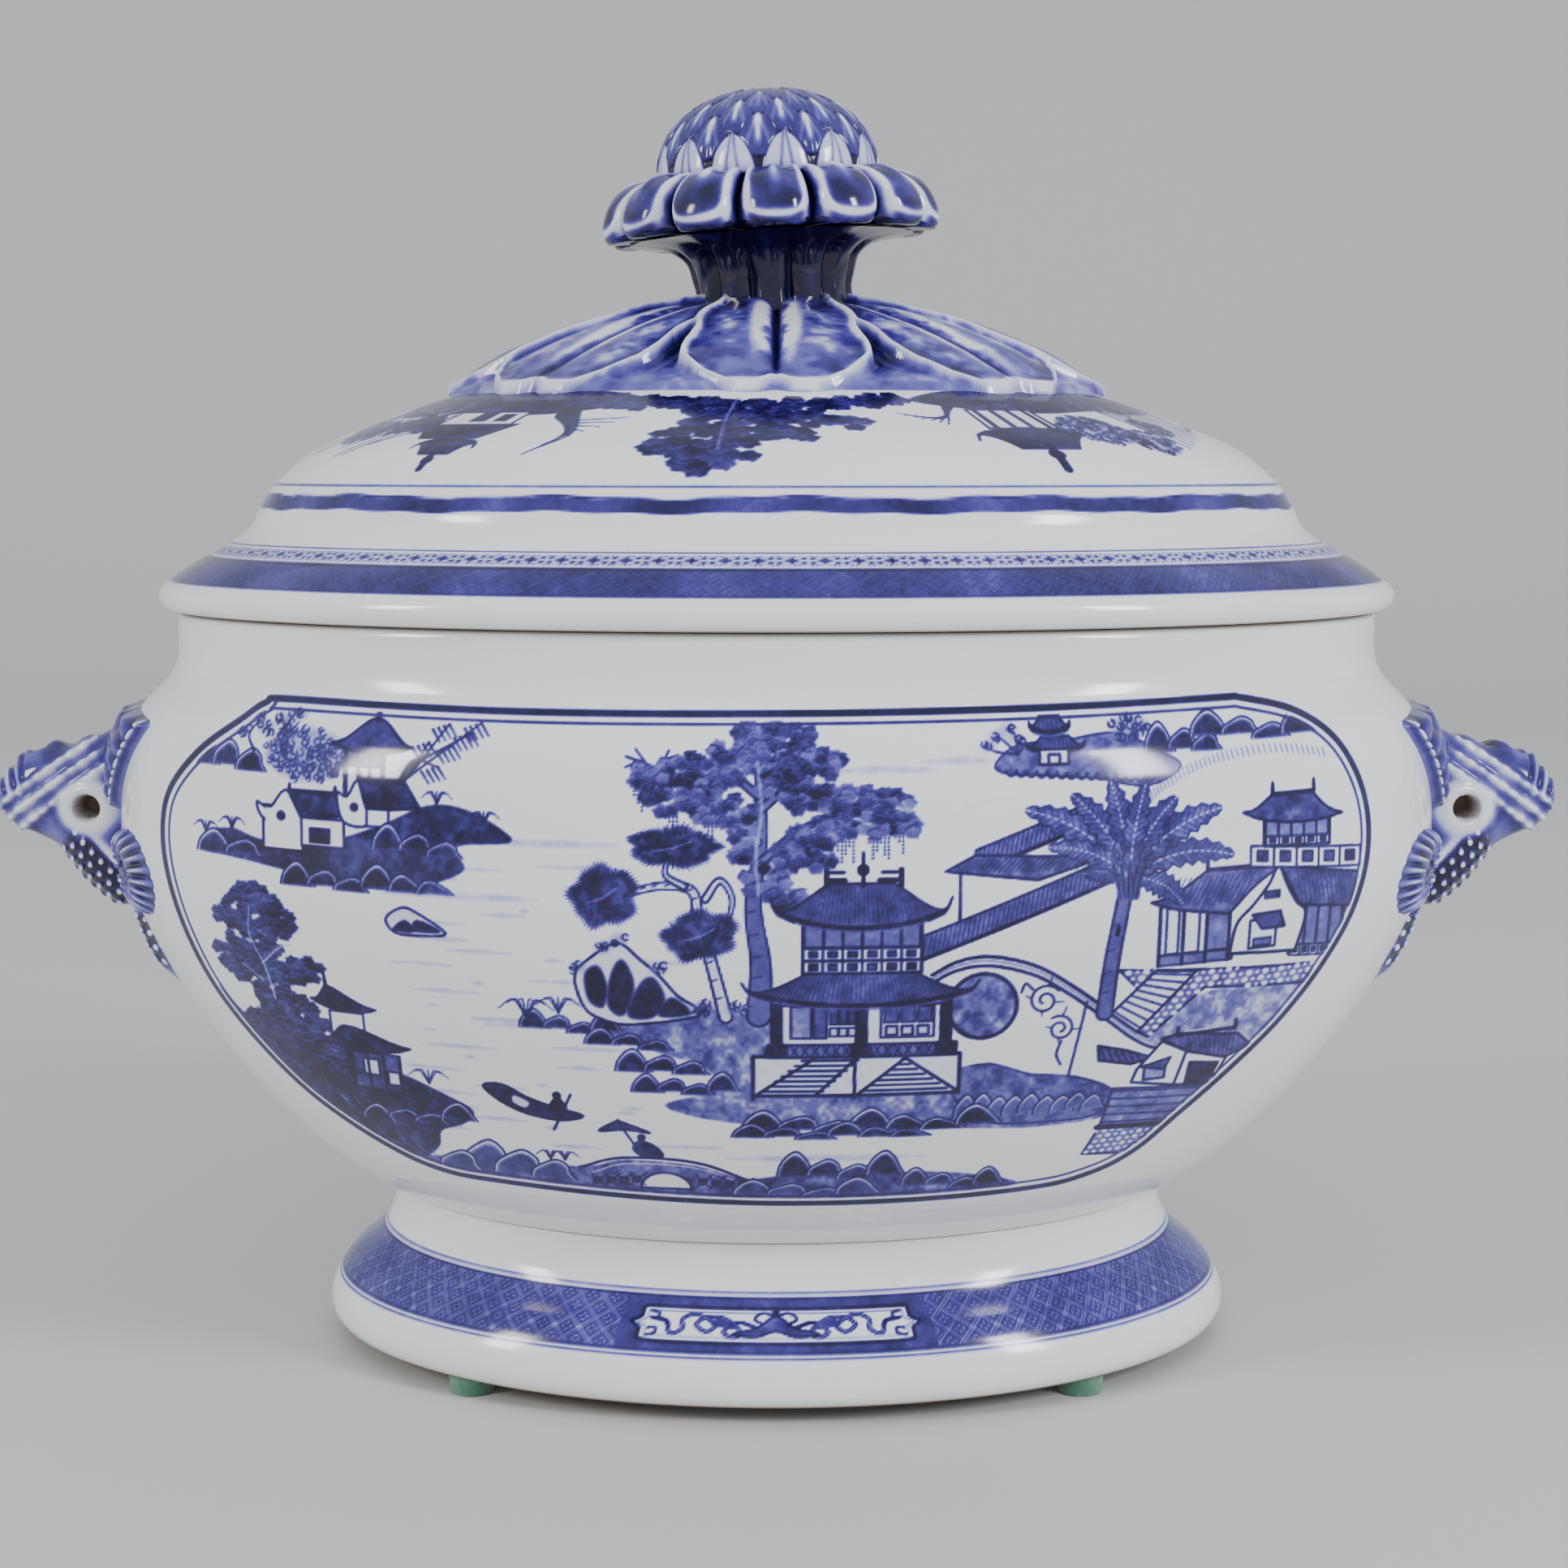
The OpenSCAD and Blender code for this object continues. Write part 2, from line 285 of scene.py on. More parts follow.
def patchy(shape, cell):  # smooth uneven field, -1 to 1
    small = rng.uniform(-1, 1, (int(shape[0] / cell) + 3, int(shape[1] / cell) + 3))
    r = np.arange(shape[0]) / cell
    c = np.arange(shape[1]) / cell
    r0, c0 = r.astype(int), c.astype(int)
    fr, fc = (r - r0)[:, None], (c - c0)[None, :]
    fr, fc = fr * fr * (3 - 2 * fr), fc * fc * (3 - 2 * fc)
    a, b = small[np.ix_(r0, c0)], small[np.ix_(r0, c0 + 1)]
    d, e = small[np.ix_(r0 + 1, c0)], small[np.ix_(r0 + 1, c0 + 1)]
    return (a * (1 - fc) + b * fc) * (1 - fr) + (d * (1 - fc) + e * fc) * fr


def newSheet(left, bottom, width, height, step=0.2):
    shape = (int(height / step) + 1, int(width / step) + 1)
    return {"ink": np.zeros(shape), "left": left, "bottom": bottom, "step": step,
            "wash": patchy(shape, 2.2 / step) * 0.6 + patchy(shape, 0.8 / step) * 0.4,
            "grain": patchy(shape, 0.45 / step)}  # not drawn with, but its draws come before all later ones


def window(sheet, points, pad):
    p = np.array(points, float)
    lo, hi = p.min(0) - pad, p.max(0) + pad
    rows, cols = sheet["ink"].shape
    c0 = min(max(int((lo[0] - sheet["left"]) / sheet["step"]), 0), cols)
    c1 = min(max(int((hi[0] - sheet["left"]) / sheet["step"]) + 2, 0), cols)
    r0 = min(max(int((lo[1] - sheet["bottom"]) / sheet["step"]), 0), rows)
    r1 = min(max(int((hi[1] - sheet["bottom"]) / sheet["step"]) + 2, 0), rows)
    x = sheet["left"] + np.arange(c0, c1) * sheet["step"]
    z = sheet["bottom"] + np.arange(r0, r1) * sheet["step"]
    return (slice(r0, r1), slice(c0, c1)), x[None, :], z[:, None]


def lay(sheet, part, cover, tone):
    ink = sheet["ink"][part]
    ink += (tone - ink) * cover


def stroke(sheet, points, width, tone, ends=(1.0, 1.0), soft=0.22, strength=1.0):
    p = np.array(points, float)
    along = np.linspace(0, 1, len(p))
    radius = width / 2 * (ends[0] + (ends[1] - ends[0]) * along)
    part, x, z = window(sheet, p, width + soft)
    if 0 in (x.size, z.size):
        return
    cover = np.zeros((z.size, x.size))
    for a, b, ra, rb in zip(p, p[1:], radius, radius[1:]):
        step = b - a
        t = np.clip(((x - a[0]) * step[0] + (z - a[1]) * step[1]) / max(step @ step, 1e-9), 0, 1)
        off = np.hypot(x - a[0] - t * step[0], z - a[1] - t * step[1])
        cover = np.maximum(cover, np.clip((ra + (rb - ra) * t - off) / soft + 0.5, 0, 1))
    lay(sheet, part, cover * strength, tone)


def fill(sheet, points, tone, soft=0.25, strength=1.0, uneven=0.3, outline=None):
    p = np.array(points, float)
    part, x, z = window(sheet, p, soft + 0.5)
    if 0 in (x.size, z.size):
        return
    inside = np.zeros((z.size, x.size), bool)
    near = np.full((z.size, x.size), 1e9)
    for a, b in zip(p, np.roll(p, -1, 0)):
        step = b - a
        crosses = (a[1] > z) != (b[1] > z)
        at = a[0] + (z - a[1]) / (step[1] if step[1] else 1e-9) * step[0]
        inside ^= crosses & (x < at)
        t = np.clip(((x - a[0]) * step[0] + (z - a[1]) * step[1]) / max(step @ step, 1e-9), 0, 1)
        near = np.minimum(near, np.hypot(x - a[0] - t * step[0], z - a[1] - t * step[1]))
    cover = np.clip(np.where(inside, near, -near) / soft + 0.5, 0, 1) * strength
    shade = tone * (1 + uneven * sheet["wash"][part])
    lay(sheet, part, cover, np.clip(shade, 0, 1))
    if outline:
        stroke(sheet, np.vstack([p, p[:1]]), outline[0], outline[1])


def dot(sheet, x, z, radius, tone):
    stroke(sheet, [(x - 0.01, z), (x + 0.01, z)], 2 * radius, tone)


def readSheet(sheet, x, z):
    c = np.clip((x - sheet["left"]) / sheet["step"], 0, sheet["ink"].shape[1] - 1.001)
    r = np.clip((z - sheet["bottom"]) / sheet["step"], 0, sheet["ink"].shape[0] - 1.001)
    c0, r0 = c.astype(int), r.astype(int)
    fc, fr = c - c0, r - r0
    ink = sheet["ink"]
    return (ink[r0, c0] * (1 - fc) + ink[r0, c0 + 1] * fc) * (1 - fr) \
        + (ink[r0 + 1, c0] * (1 - fc) + ink[r0 + 1, c0 + 1] * fc) * fr


def roof(sheet, x, z, w, h, tone=0.6, ridge=0.34, drop=0.24):
    half = w / 2
    left = curve((x - half, z + 0.3 * h), (x - 0.8 * half, z + 0.28 * h), (x - 0.62 * half, z + 0.7 * h),
                 (x - ridge * 2 * half * 0.75, z + h), 8)
    right = left[::-1] * (-1, 1) + (2 * x, 0)
    under = curve((x + half, z + 0.3 * h), (x + 0.5 * half, z - drop * h), (x - 0.5 * half, z - drop * h),
                  (x - half, z + 0.3 * h), 12)
    shape = np.vstack([left, right, under])
    fill(sheet, shape, tone, uneven=0.35)
    for k in range(int(w / 0.95)):  # tile courses
        at = x - half + 0.95 * (k + 0.6)
        lean = (at - x) / half
        top = z + h * (0.92 - 0.55 * max(abs(lean) - 0.5, 0) * 2)
        stroke(sheet, [(at, z + h * 0.2 * lean * lean), (x + (at - x) * 0.82, top)], 0.28, 0.92, strength=0.6)
    stroke(sheet, under, 0.95, 0.96)
    stroke(sheet, under - (0, 0.75), 0.35, 0.5)
    stroke(sheet, np.vstack([left, right]), 0.4, 0.95)
    for side in (-1, 1):
        tip = [(x + side * 0.8 * half, z + 0.08 * h), (x + side * half, z + 0.3 * h),
               (x + side * (half + 0.04 * w), z + 0.62 * h)]
        stroke(sheet, rounded(tip), 0.95, 0.95, ends=(1, 0.4))


def box(sheet, x0, z0, x1, z1, tone, line=0.38, dark=0.95, slope=0.0):
    rise = slope * (x1 - x0)
    shape = [(x0, z0), (x1, z0 + rise), (x1, z1 + rise), (x0, z1)]
    fill(sheet, shape, tone, uneven=0.35, outline=(line, dark) if line else None)


def windows(sheet, x0, z0, x1, z1, bays, slope=0.0):
    step = (x1 - x0) / bays
    for k in range(bays):
        a, rise = x0 + k * step, slope * k * step
        box(sheet, a, z0 + rise, a + step, z1 + rise, 0.02, 0.4, 0.95, slope)
        m, tall = step * 0.27, z1 - z0
        box(sheet, a + m, z0 + rise + 0.25 * tall, a + step - m, z1 + rise - 0.25 * tall, 0.75, 0.3, 0.95,
            slope)


def posts(sheet, x0, x1, z0, z1, count, width=0.5, slope=0.0):
    for k in range(count):
        x = x0 + (x1 - x0) * k / (count - 1)
        rise = slope * (x - x0)
        stroke(sheet, [(x, z0 + rise), (x, z1 + rise)], width, 0.95)


def horns(sheet, xs, z, tall=2.6):  # little upright ends on a ridge
    for x in xs:
        stroke(sheet, [(x, z), (x, z + tall)], 0.9, 0.95, ends=(1, 0.7))
    stroke(sheet, [(xs[0], z), (xs[-1], z)], 0.75, 0.95)


def foliage(sheet, clumps, low=0.45, high=0.9, leaf=1.5):
    for x, z, rx, rz in clumps:
        count = int(2.4 * rx * rz / leaf ** 2) + 5
        spots = sorted([(rng.uniform(0, tau), math.sqrt(rng.uniform(0, 1)), rng.uniform(low, high))
                        for _ in range(count)], key=lambda spot: -spot[1] * math.sin(spot[0]))
        for a, far, tone in spots:
            cx, cz = x + rx * far * math.cos(a), z + rz * far * math.sin(a)
            ring = [(cx + leaf * (1 + 0.18 * math.cos(5 * b + a)) * math.cos(b),
                     cz + 0.85 * leaf * (1 + 0.18 * math.cos(5 * b + a)) * math.sin(b))
                    for b in np.linspace(0, tau, 14)[:-1]]
            fill(sheet, ring, tone, uneven=0.3, soft=0.5)
            arc = [(cx + 0.8 * leaf * math.cos(b), cz + 0.68 * leaf * math.sin(b)) for b in (0.5, 1.1, 1.7,
                                                                                             2.3, 2.8)]
            stroke(sheet, arc, 0.24, 0.18, strength=0.55)
            if far > 0.8:
                stroke(sheet, ring[2:7], 0.22, 0.95, strength=0.6)


def scribble(sheet, x, z, rx, rz, tone=0.6):  # a loose ball of small loops
    fill(sheet, [(x + rx * math.cos(a), z + rz * math.sin(a)) for a in np.linspace(0, tau, 20)], 0.33,
         soft=1.6,
         strength=0.7)
    for _ in range(int(rx * rz * 2.2)):
        a, far = rng.uniform(0, tau), math.sqrt(rng.uniform(0, 1))
        cx, cz, size = x + rx * far * math.cos(a), z + rz * far * math.sin(a), rng.uniform(0.45, 0.8)
        stroke(sheet, [(cx + size * math.cos(b), cz + size * math.sin(b))
                       for b in np.linspace(a, a + 5, 7)], 0.28, tone)


def trunk(sheet, points, width, tone=0.5, bark=True, taper=0.5):
    line = rounded(points)
    stroke(sheet, line, width + 0.5, 0.95, ends=(1, taper))
    stroke(sheet, line, width - 0.35, tone, ends=(1, taper * 0.9))
    if bark:
        for k in range(3, len(line) - 2, 3):
            stroke(sheet, [line[k] + (-0.32 * width, 0), line[k] + (0.05 * width, 0.35)], 0.3, 0.9,
                   strength=0.8)


def pineCloud(sheet, x, z, rx, rz, tilt=0.0):
    ring = []
    for a in np.linspace(0, tau, 60)[:-1]:
        swell = 1 + 0.09 * math.cos(5 * a + x) + 0.05 * math.cos(9 * a)
        px, pz = rx * swell * math.cos(a), rz * swell * math.sin(a)
        ring.append((x + px - tilt * pz, z + pz + tilt * px))
    fill(sheet, ring, 0.72, uneven=0.45, soft=0.9)
    for p in ring:  # fringe of needles
        out = np.array(p) - (x, z)
        out = out / max(np.hypot(*out), 1e-6)
        stroke(sheet, [np.array(p) - out * 1.6, np.array(p) + out * 0.75], 0.3, 0.92, ends=(1, 0.4),
               strength=0.85)
    for _ in range(int(rx * rz * 1.6)):
        a, far = rng.uniform(0, tau), math.sqrt(rng.uniform(0, 0.85))
        cx, cz = x + rx * far * math.cos(a), z + rz * far * math.sin(a)
        stroke(sheet, [(cx, cz), (cx + 0.7 * math.cos(a), cz + 0.9)], 0.28, 0.98, strength=0.7)
    stroke(sheet, [(x - 0.5 * rx, z - 0.25 * rz), (x, z - 0.05 * rz), (x + 0.4 * rx, z + 0.3 * rz)], 0.3,
           0.12, strength=0.7)


def frond(sheet, start, tip, swell, width):
    a, b = np.array(start, float), np.array(tip, float)
    way = b - a
    side = np.array([-way[1], way[0]]) / np.hypot(*way)
    mid = (a + b) / 2 + side * swell
    line = curve(a, a + (mid - a) * 0.9, mid + (b - mid) * 0.5, b, 16)
    slope = np.gradient(line, axis=0)
    slope = slope / np.hypot(slope[:, 0], slope[:, 1])[:, None]
    across = np.stack([-slope[:, 1], slope[:, 0]], 1)
    t = np.linspace(0, 1, 16)
    reach = width * np.sin(math.pi * np.clip(t * 0.9 + 0.08, 0, 1)) ** 0.7
    ragged = 1 + 0.22 * np.cos(np.arange(16) * math.pi)
    leaf = np.vstack([line + across * (reach * ragged)[:, None],
                      (line - across * (reach * ragged)[:, None])[::-1]])
    fill(sheet, leaf, 0.5, uneven=0.5, outline=(0.3, 0.85))
    stroke(sheet, line, 0.35, 0.1)
    for k in range(2, 15):
        for turn in (1, -1):
            stroke(sheet, [line[k], line[k] + (slope[k] * 0.8 + turn * across[k]) * reach[k] * 0.85], 0.22,
                   0.88,
                   strength=0.6)


def hump(sheet, x, z, w, h, tone=0.85, lean=0.0):
    left = np.array([(x - 0.5 * w, z), (x - 0.42 * w, z + 0.45 * h), (x - 0.18 * w + lean, z + 0.88 * h),
                     (x + 0.05 * w + lean, z + h), (x + 0.27 * w + lean, z + 0.72 * h),
                     (x + 0.42 * w, z + 0.34 * h),
                     (x + 0.56 * w, z)])
    line = rounded(left, 5)
    fill(sheet, line, 0.25, uneven=0.2)
    inner = line * (0.86, 0.8) + (x * 0.14, z * 0.2)
    fill(sheet, inner, tone, uneven=0.25, soft=0.9)
    stroke(sheet, line * (0.94, 0.91) + (x * 0.06, z * 0.09), 0.34, 0.03, strength=0.9)
    stroke(sheet, line, 0.34, 0.9)


def humps(sheet, x0, x1, z, tall, count, drop=0.0, tone=0.85):
    for k in range(count):
        t = (k + 0.5) / count
        w = (x1 - x0) / count * 1.25
        hump(sheet, x0 + (x1 - x0) * t, z + drop * t + 0.5 * math.sin(2.4 * k), w,
             tall * (0.75 + 0.25 * math.cos(2 * k)),
             tone, 0.1 * w * math.sin(k))


def mass(sheet, points, tone=0.7, uneven=0.5, soft=0.5, edge=None):
    fill(sheet, rounded(points, 5, closed=True), tone, uneven=uneven, soft=soft, outline=edge)


def tuft(sheet, x, z, size, blades=6, tone=0.85):
    for k in range(blades):
        a = math.pi * (0.15 + 0.7 * k / max(blades - 1, 1))
        tip = (x + 1.2 * size * math.cos(a), z + size * math.sin(a) * 0.72)
        stroke(sheet, rounded([(x, z), (x + 0.55 * size * math.cos(a), z + 0.72 * size), tip]), 0.38, tone,
               ends=(1, 0.4))


def curl(sheet, x, z, r, turn=1, start=0.0, tone=0.9):
    t = np.linspace(0, 1.55 * tau, 26)
    reach = r * (1 - 0.78 * t / t[-1])
    line = np.stack([x + reach * np.cos(start + turn * t), z + reach * np.sin(start + turn * t)], 1)
    stroke(sheet, line, 0.42, tone)
    for k in (2, 6, 10, 14):
        out = (line[k] - (x, z)) / reach[k]
        stroke(sheet, [line[k], line[k] + out * 1.7 + (0.5, 0.3)], 0.34, tone, ends=(1, 0.5))


def cobbles(sheet, shape, size):
    p = np.array(shape, float)
    fill(sheet, p, 0.45, outline=(0.45, 0.98))
    lo, hi = p.min(0), p.max(0)
    for row in range(int((hi[1] - lo[1]) / size) + 1):
        for k in range(int((hi[0] - lo[0]) / (1.35 * size)) + 1):
            cx, cz = lo[0] + 1.35 * size * (k + 0.5 * (row % 2)), lo[1] + size * (row + 0.5)
            crossing = 0
            for a, b in zip(p, np.roll(p, -1, 0)):
                if (a[1] > cz) != (b[1] > cz) and cx < a[0] + (cz - a[1]) / (b[1] - a[1]) * (b[0] - a[0]):
                    crossing += 1
            if crossing % 2:
                r = 0.5 * size * (0.85 + 0.2 * math.sin(k * 3.1 + row * 3))
                ring = [(cx + 1.15 * r * math.cos(t), cz + 0.9 * r * math.sin(t))
                        for t in np.linspace(0, tau, 9)]
                fill(sheet, ring, 0.04, uneven=0, soft=0.3)


def hatched(sheet, a, b, depth, tone=0.5, pitch=0.95, lean=0.9):  # a sloping roof band with ribs
    a, b, down = np.array(a, float), np.array(b, float), np.array((0, -depth), float)
    fill(sheet, [a, b, b + down, a + down], tone, uneven=0.4, outline=(0.42, 0.95))
    for k in range(int((b[0] - a[0]) / pitch)):
        at = a + (b - a) * (k + 0.5) * pitch / (b[0] - a[0])
        stroke(sheet, [at + (lean * 0.45, 0), at + down - (lean * 0.45, 0)], 0.26, 0.92, strength=0.75)
    stroke(sheet, [a + down, b + down], 0.75, 0.95)


def farShore(s):
    humps(s, -121, -104, 138.5, 7.5, 3)
    for x, z in ((-109, 146), (-106, 148.4), (-103.5, 146.5), (-99.5, 148.2), (-96.5, 149.4), (-98, 146)):
        scribble(s, x, z, 1.9, 1.1, 0.9)
    for x in (-106, -99, -97):
        stroke(s, rounded([(x, 142), (x - 1.4, 145), (x + 0.8, 148)]), 0.5, 0.9, ends=(1, 0.5))
    scribble(s, -94, 142, 9.5, 5.2, 0.75)
    box(s, -85.5, 135, -77, 144, 0.05)
    box(s, -85.5, 140.5, -77, 144, 0.5)
    posts(s, -85, -77.5, 135, 144, 4, 0.55)
    dome = np.vstack([curve((-88.5, 144.6), (-84, 145), (-82, 149.4), (-78.8, 149.6), 10),
                      curve((-78.8, 149.6), (-75.5, 149.2), (-74.5, 145), (-71.5, 144.4), 10),
                      curve((-71.5, 144.4), (-76, 142.4), (-84, 142.6), (-88.5, 144.6), 10)])
    fill(s, dome, 0.66, uneven=0.4, outline=(0.5, 0.98))
    stroke(s, [(-78.8, 149.3), (-78.6, 151.2)], 1.1, 0.95)
    for k, (x, z) in enumerate(((-66, 141), (-63, 145), (-59.5, 147.5), (-68, 145.5), (-64, 149),
                                (-57.5, 149.4))):
        stroke(s, rounded([(-75, 136), (-71, 142 - 0.5 * k), (x, z)]), 0.55, 0.85, ends=(1, 0.6))
        for j in range(4):
            at = (x + 1.1 * j - 3.2, z + 0.35 * j - 1)
            stroke(s, [at, (at[0] + 1.6, at[1] - 2.3)], 0.5, 0.9, ends=(1, 0.5))
    mass(s, [(-119.5, 121), (-117, 124.5), (-111, 126), (-105, 124.5), (-96, 124), (-88, 125.5), (-78, 129),
             (-68, 133.5), (-60, 133), (-53, 129.5), (-51.5, 127), (-62, 125.8), (-60.5, 121.5), (-66, 118.6),
             (-76, 116.4), (-88, 117.4), (-104, 119.4), (-112, 120.2)], 0.78, 0.4)
    box(s, -103.5, 122.8, -94.5, 131.5, 0.02, 0.5)
    fill(s, rounded([(-105, 132), (-102, 131), (-98.5, 134.8), (-95, 131.5), (-94.8, 128.5), (-103, 128.5)],
                    4, True), 0.02,
         outline=(0.45, 0.95))
    fill(s, [(-103, 127), (-95, 127), (-95, 131), (-103, 131)], 0.02, uneven=0)
    dot(s, -99.4, 129.6, 1.0, 0.9)
    fill(s, [(-97.8, 134.8), (-87, 134.4), (-83.8, 130.6), (-94.8, 129.4)], 0.85, uneven=0.3,
         outline=(0.5, 1))
    box(s, -94.8, 124, -85.5, 129.6, 0.02, 0.45)
    box(s, -93, 124.8, -88.6, 127.6, 0.85, 0.3)
    fill(s, rounded([(-87, 135), (-84.8, 134.4), (-82.6, 137.6), (-80, 133.5), (-80.4, 129), (-85.6, 129.4)],
                    4, True), 0.02,
         outline=(0.45, 0.95))
    dot(s, -83.3, 132.4, 0.9, 0.9)
    fill(s, [(-82.4, 137.8), (-72.5, 137.6), (-69.4, 132.8), (-80.6, 132)], 0.85, uneven=0.3,
         outline=(0.5, 1))
    box(s, -80.6, 128.8, -76, 132.3, 0.02, 0.4)
    horns(s, (-97.5, -87.4), 134.8, 1.2)
    horns(s, (-82.2, -72.8), 138, 1.2)
    humps(s, -119, -105, 120.6, 4.8, 2)
    humps(s, -79, -62, 124.5, 5.2, 3, -0.5)
    humps(s, -99, -64, 115.8, 4.8, 6, 0.8)
    for x, z in ((-117.5, 124.5), (-111, 126), (-66, 134), (-56.5, 130.5)):
        tuft(s, x, z, 3.0, 5)
    fill(s, rounded([(-77, 110.6), (-73.8, 113), (-70.8, 112.4), (-64.6, 108.4), (-69, 107.6), (-75, 107.8)],
                    4, True), 0.1,
         outline=(0.45, 0.95))
    fill(s, rounded([(-75.6, 108.4), (-73, 110.6), (-71, 108.2)], 4, True), 0.95)
    fill(s, rounded([(-71.4, 108.4), (-70.4, 110.8), (-65.6, 108.6)], 4, True), 0.95)


def leftShore(s):
    mass(s, [(-118, 90), (-111, 84), (-104, 90), (-97, 86), (-88, 80), (-76, 76), (-69, 73), (-61.6, 69),
             (-64, 65.4),
             (-69, 63), (-70.5, 58), (-78, 53), (-92, 56), (-106, 70)], 0.86, 0.3)
    foliage(s, [(-108, 112, 3.4, 3.4), (-112, 107.5, 4, 3.6), (-105, 110, 4.4, 4), (-101, 107.5, 3.6, 3.4),
                (-107.5, 102.5, 5.4, 4.2), (-113.5, 98.5, 3.6, 3.4), (-108.5, 95.5, 4.6, 4),
                (-101, 97.5, 6, 4.4),
                (-95, 98, 3.6, 3), (-103.5, 90.5, 4.6, 4.6), (-99.5, 86.5, 5.6, 5), (-95, 82, 5, 4.6),
                (-106, 84, 5, 4), (-91, 77, 4, 4)], 0.72, 1.0, 1.25)
    for line in ([(-103.5, 90), (-105, 97), (-108, 104), (-107.6, 110)],
                 [(-105.4, 98), (-101, 102), (-98, 103)],
                 [(-106, 94), (-110.5, 97)]):
        stroke(s, rounded(line), 0.55, 0.15, ends=(1, 0.5), strength=0.85)
    for k in range(46):  # long grass running down the slope
        x = -112 + 1.05 * k
        z = 80 - 0.66 * (x + 112) + 4.2 * math.sin(k * 1.7)
        stroke(s, rounded([(x, z), (x + 2, z - 3.2), (x + 5.5, z - 5.6)]), 0.3, 0.28 if k % 3 else 0.99,
               strength=0.6)
    stroke(s, [(-91.6, 98.6), (-91.2, 94)], 1.0, 0.97, ends=(0.4, 1))
    fill(s, np.vstack([curve((-95, 91.4), (-92.6, 91.2), (-92.4, 94.6), (-91, 94.8), 8),
                       curve((-91, 94.8), (-88, 94), (-85, 91), (-80.6, 90.4), 8),
                       curve((-80.6, 90.4), (-84, 88.6), (-91, 88.8), (-95, 91.4), 8)]), 0.95,
         outline=(0.4, 1))
    box(s, -91, 84, -83.5, 89.2, 0.04, 0.4)
    fill(s, np.vstack([curve((-94, 82.4), (-90.5, 82), (-90, 85.8), (-88, 86), 8),
                       curve((-88, 86), (-83, 86), (-80, 83), (-73.8, 82.2), 8),
                       curve((-73.8, 82.2), (-79, 79.6), (-89, 79.8), (-94, 82.4), 8)]), 0.92,
         outline=(0.4, 1))
    box(s, -87.5, 71.5, -76.4, 80.2, 0.62, 0.4)
    box(s, -84.6, 75, -81.2, 78.8, 0.05, 0.4)
    box(s, -79.4, 73, -76.8, 76.2, 0.05, 0.4)
    posts(s, -87, -76.6, 71.5, 80, 4, 0.55)
    tuft(s, -70.5, 74.6, 4.2, 5, 0.7)
    humps(s, -86, -62, 63, 4.2, 4, 3.4, 0.95)


def lowerEdge(s):
    mass(s, [(-80, 53.6), (-66, 56.6), (-50, 57), (-38, 57.4), (-30, 59.6), (-16, 58.6), (-6, 55.6),
             (8, 57.4),
             (22, 56.6), (36, 56), (50, 51.6), (30, 50), (-30, 50), (-66, 50.4)], 0.52, 0.6)
    for k, (x, w, h) in enumerate(((-60, 11, 8), (-53, 11, 6.4), (-46, 9, 4.8), (-66, 9, 5))):
        hump(s, x, 54 - 0.2 * k, w, h, 0.6, 1.0)
    fill(s, curve((-27.5, 52.6), (-27, 58), (-18, 58), (-17, 52.6), 12), 0.03, uneven=0, outline=(0.45, 0.9))
    stroke(s, rounded([(-40, 57), (-31, 60), (-16, 59.4), (-4, 54.4)]), 0.55, 0.95)
    stroke(s, rounded([(-38, 55.6), (-30, 58.6), (-16, 58), (-5, 53.6)]), 0.3, 0.1)
    for k in range(12):
        x = -36.5 + 2.7 * k
        if not -28 < x < -17:
            curl(s, x, 55.2 - 0.10 * abs(x + 22), 1.0, 1, 0, 0.9)
    humps(s, 1, 25, 56.4, 6, 4, -0.6)
    humps(s, 26, 46, 53.4, 4.4, 4, -1.6)
    humps(s, -8, 20, 51.4, 4, 4, 0, 0.6)
    for x in (-46, -43):
        tuft(s, x, 58.6, 2.8, 4, 0.8)
    # boat and boatman
    fill(s, rounded([(-59, 75.4), (-55, 76), (-50, 73.4), (-45, 71.6), (-38.6, 69.8), (-43, 68.4),
                     (-50, 69.4),
                     (-55.6, 72)], 4, True), 0.85, uneven=0.2, outline=(0.45, 1.0))
    fill(s, rounded([(-52.6, 73.6), (-49.6, 72.2), (-50.6, 70.8), (-53, 72)], 4, True), 0.1)
    fill(s, rounded([(-45.6, 71.4), (-43.6, 74), (-41.8, 71)], 4, True), 0.95)
    dot(s, -43.8, 74.2, 0.9, 0.95)
    stroke(s, [(-41, 74.6), (-44.8, 66)], 0.5, 0.95)
    # traveller with a parasol
    fill(s, rounded([(-35.6, 66.4), (-31.8, 69), (-31.2, 68.9), (-25.2, 66.4), (-30, 66.9)], 4, True), 0.75,
         outline=(0.4, 0.95))
    stroke(s, [(-31.6, 68.8), (-28.6, 63.6)], 0.42, 0.95)
    fill(s, rounded([(-29, 62.6), (-27.4, 64.6), (-24, 63.2), (-22.6, 60.6), (-27, 60.4)], 4, True), 0.85)
    dot(s, -27, 65.2, 0.85, 0.95)


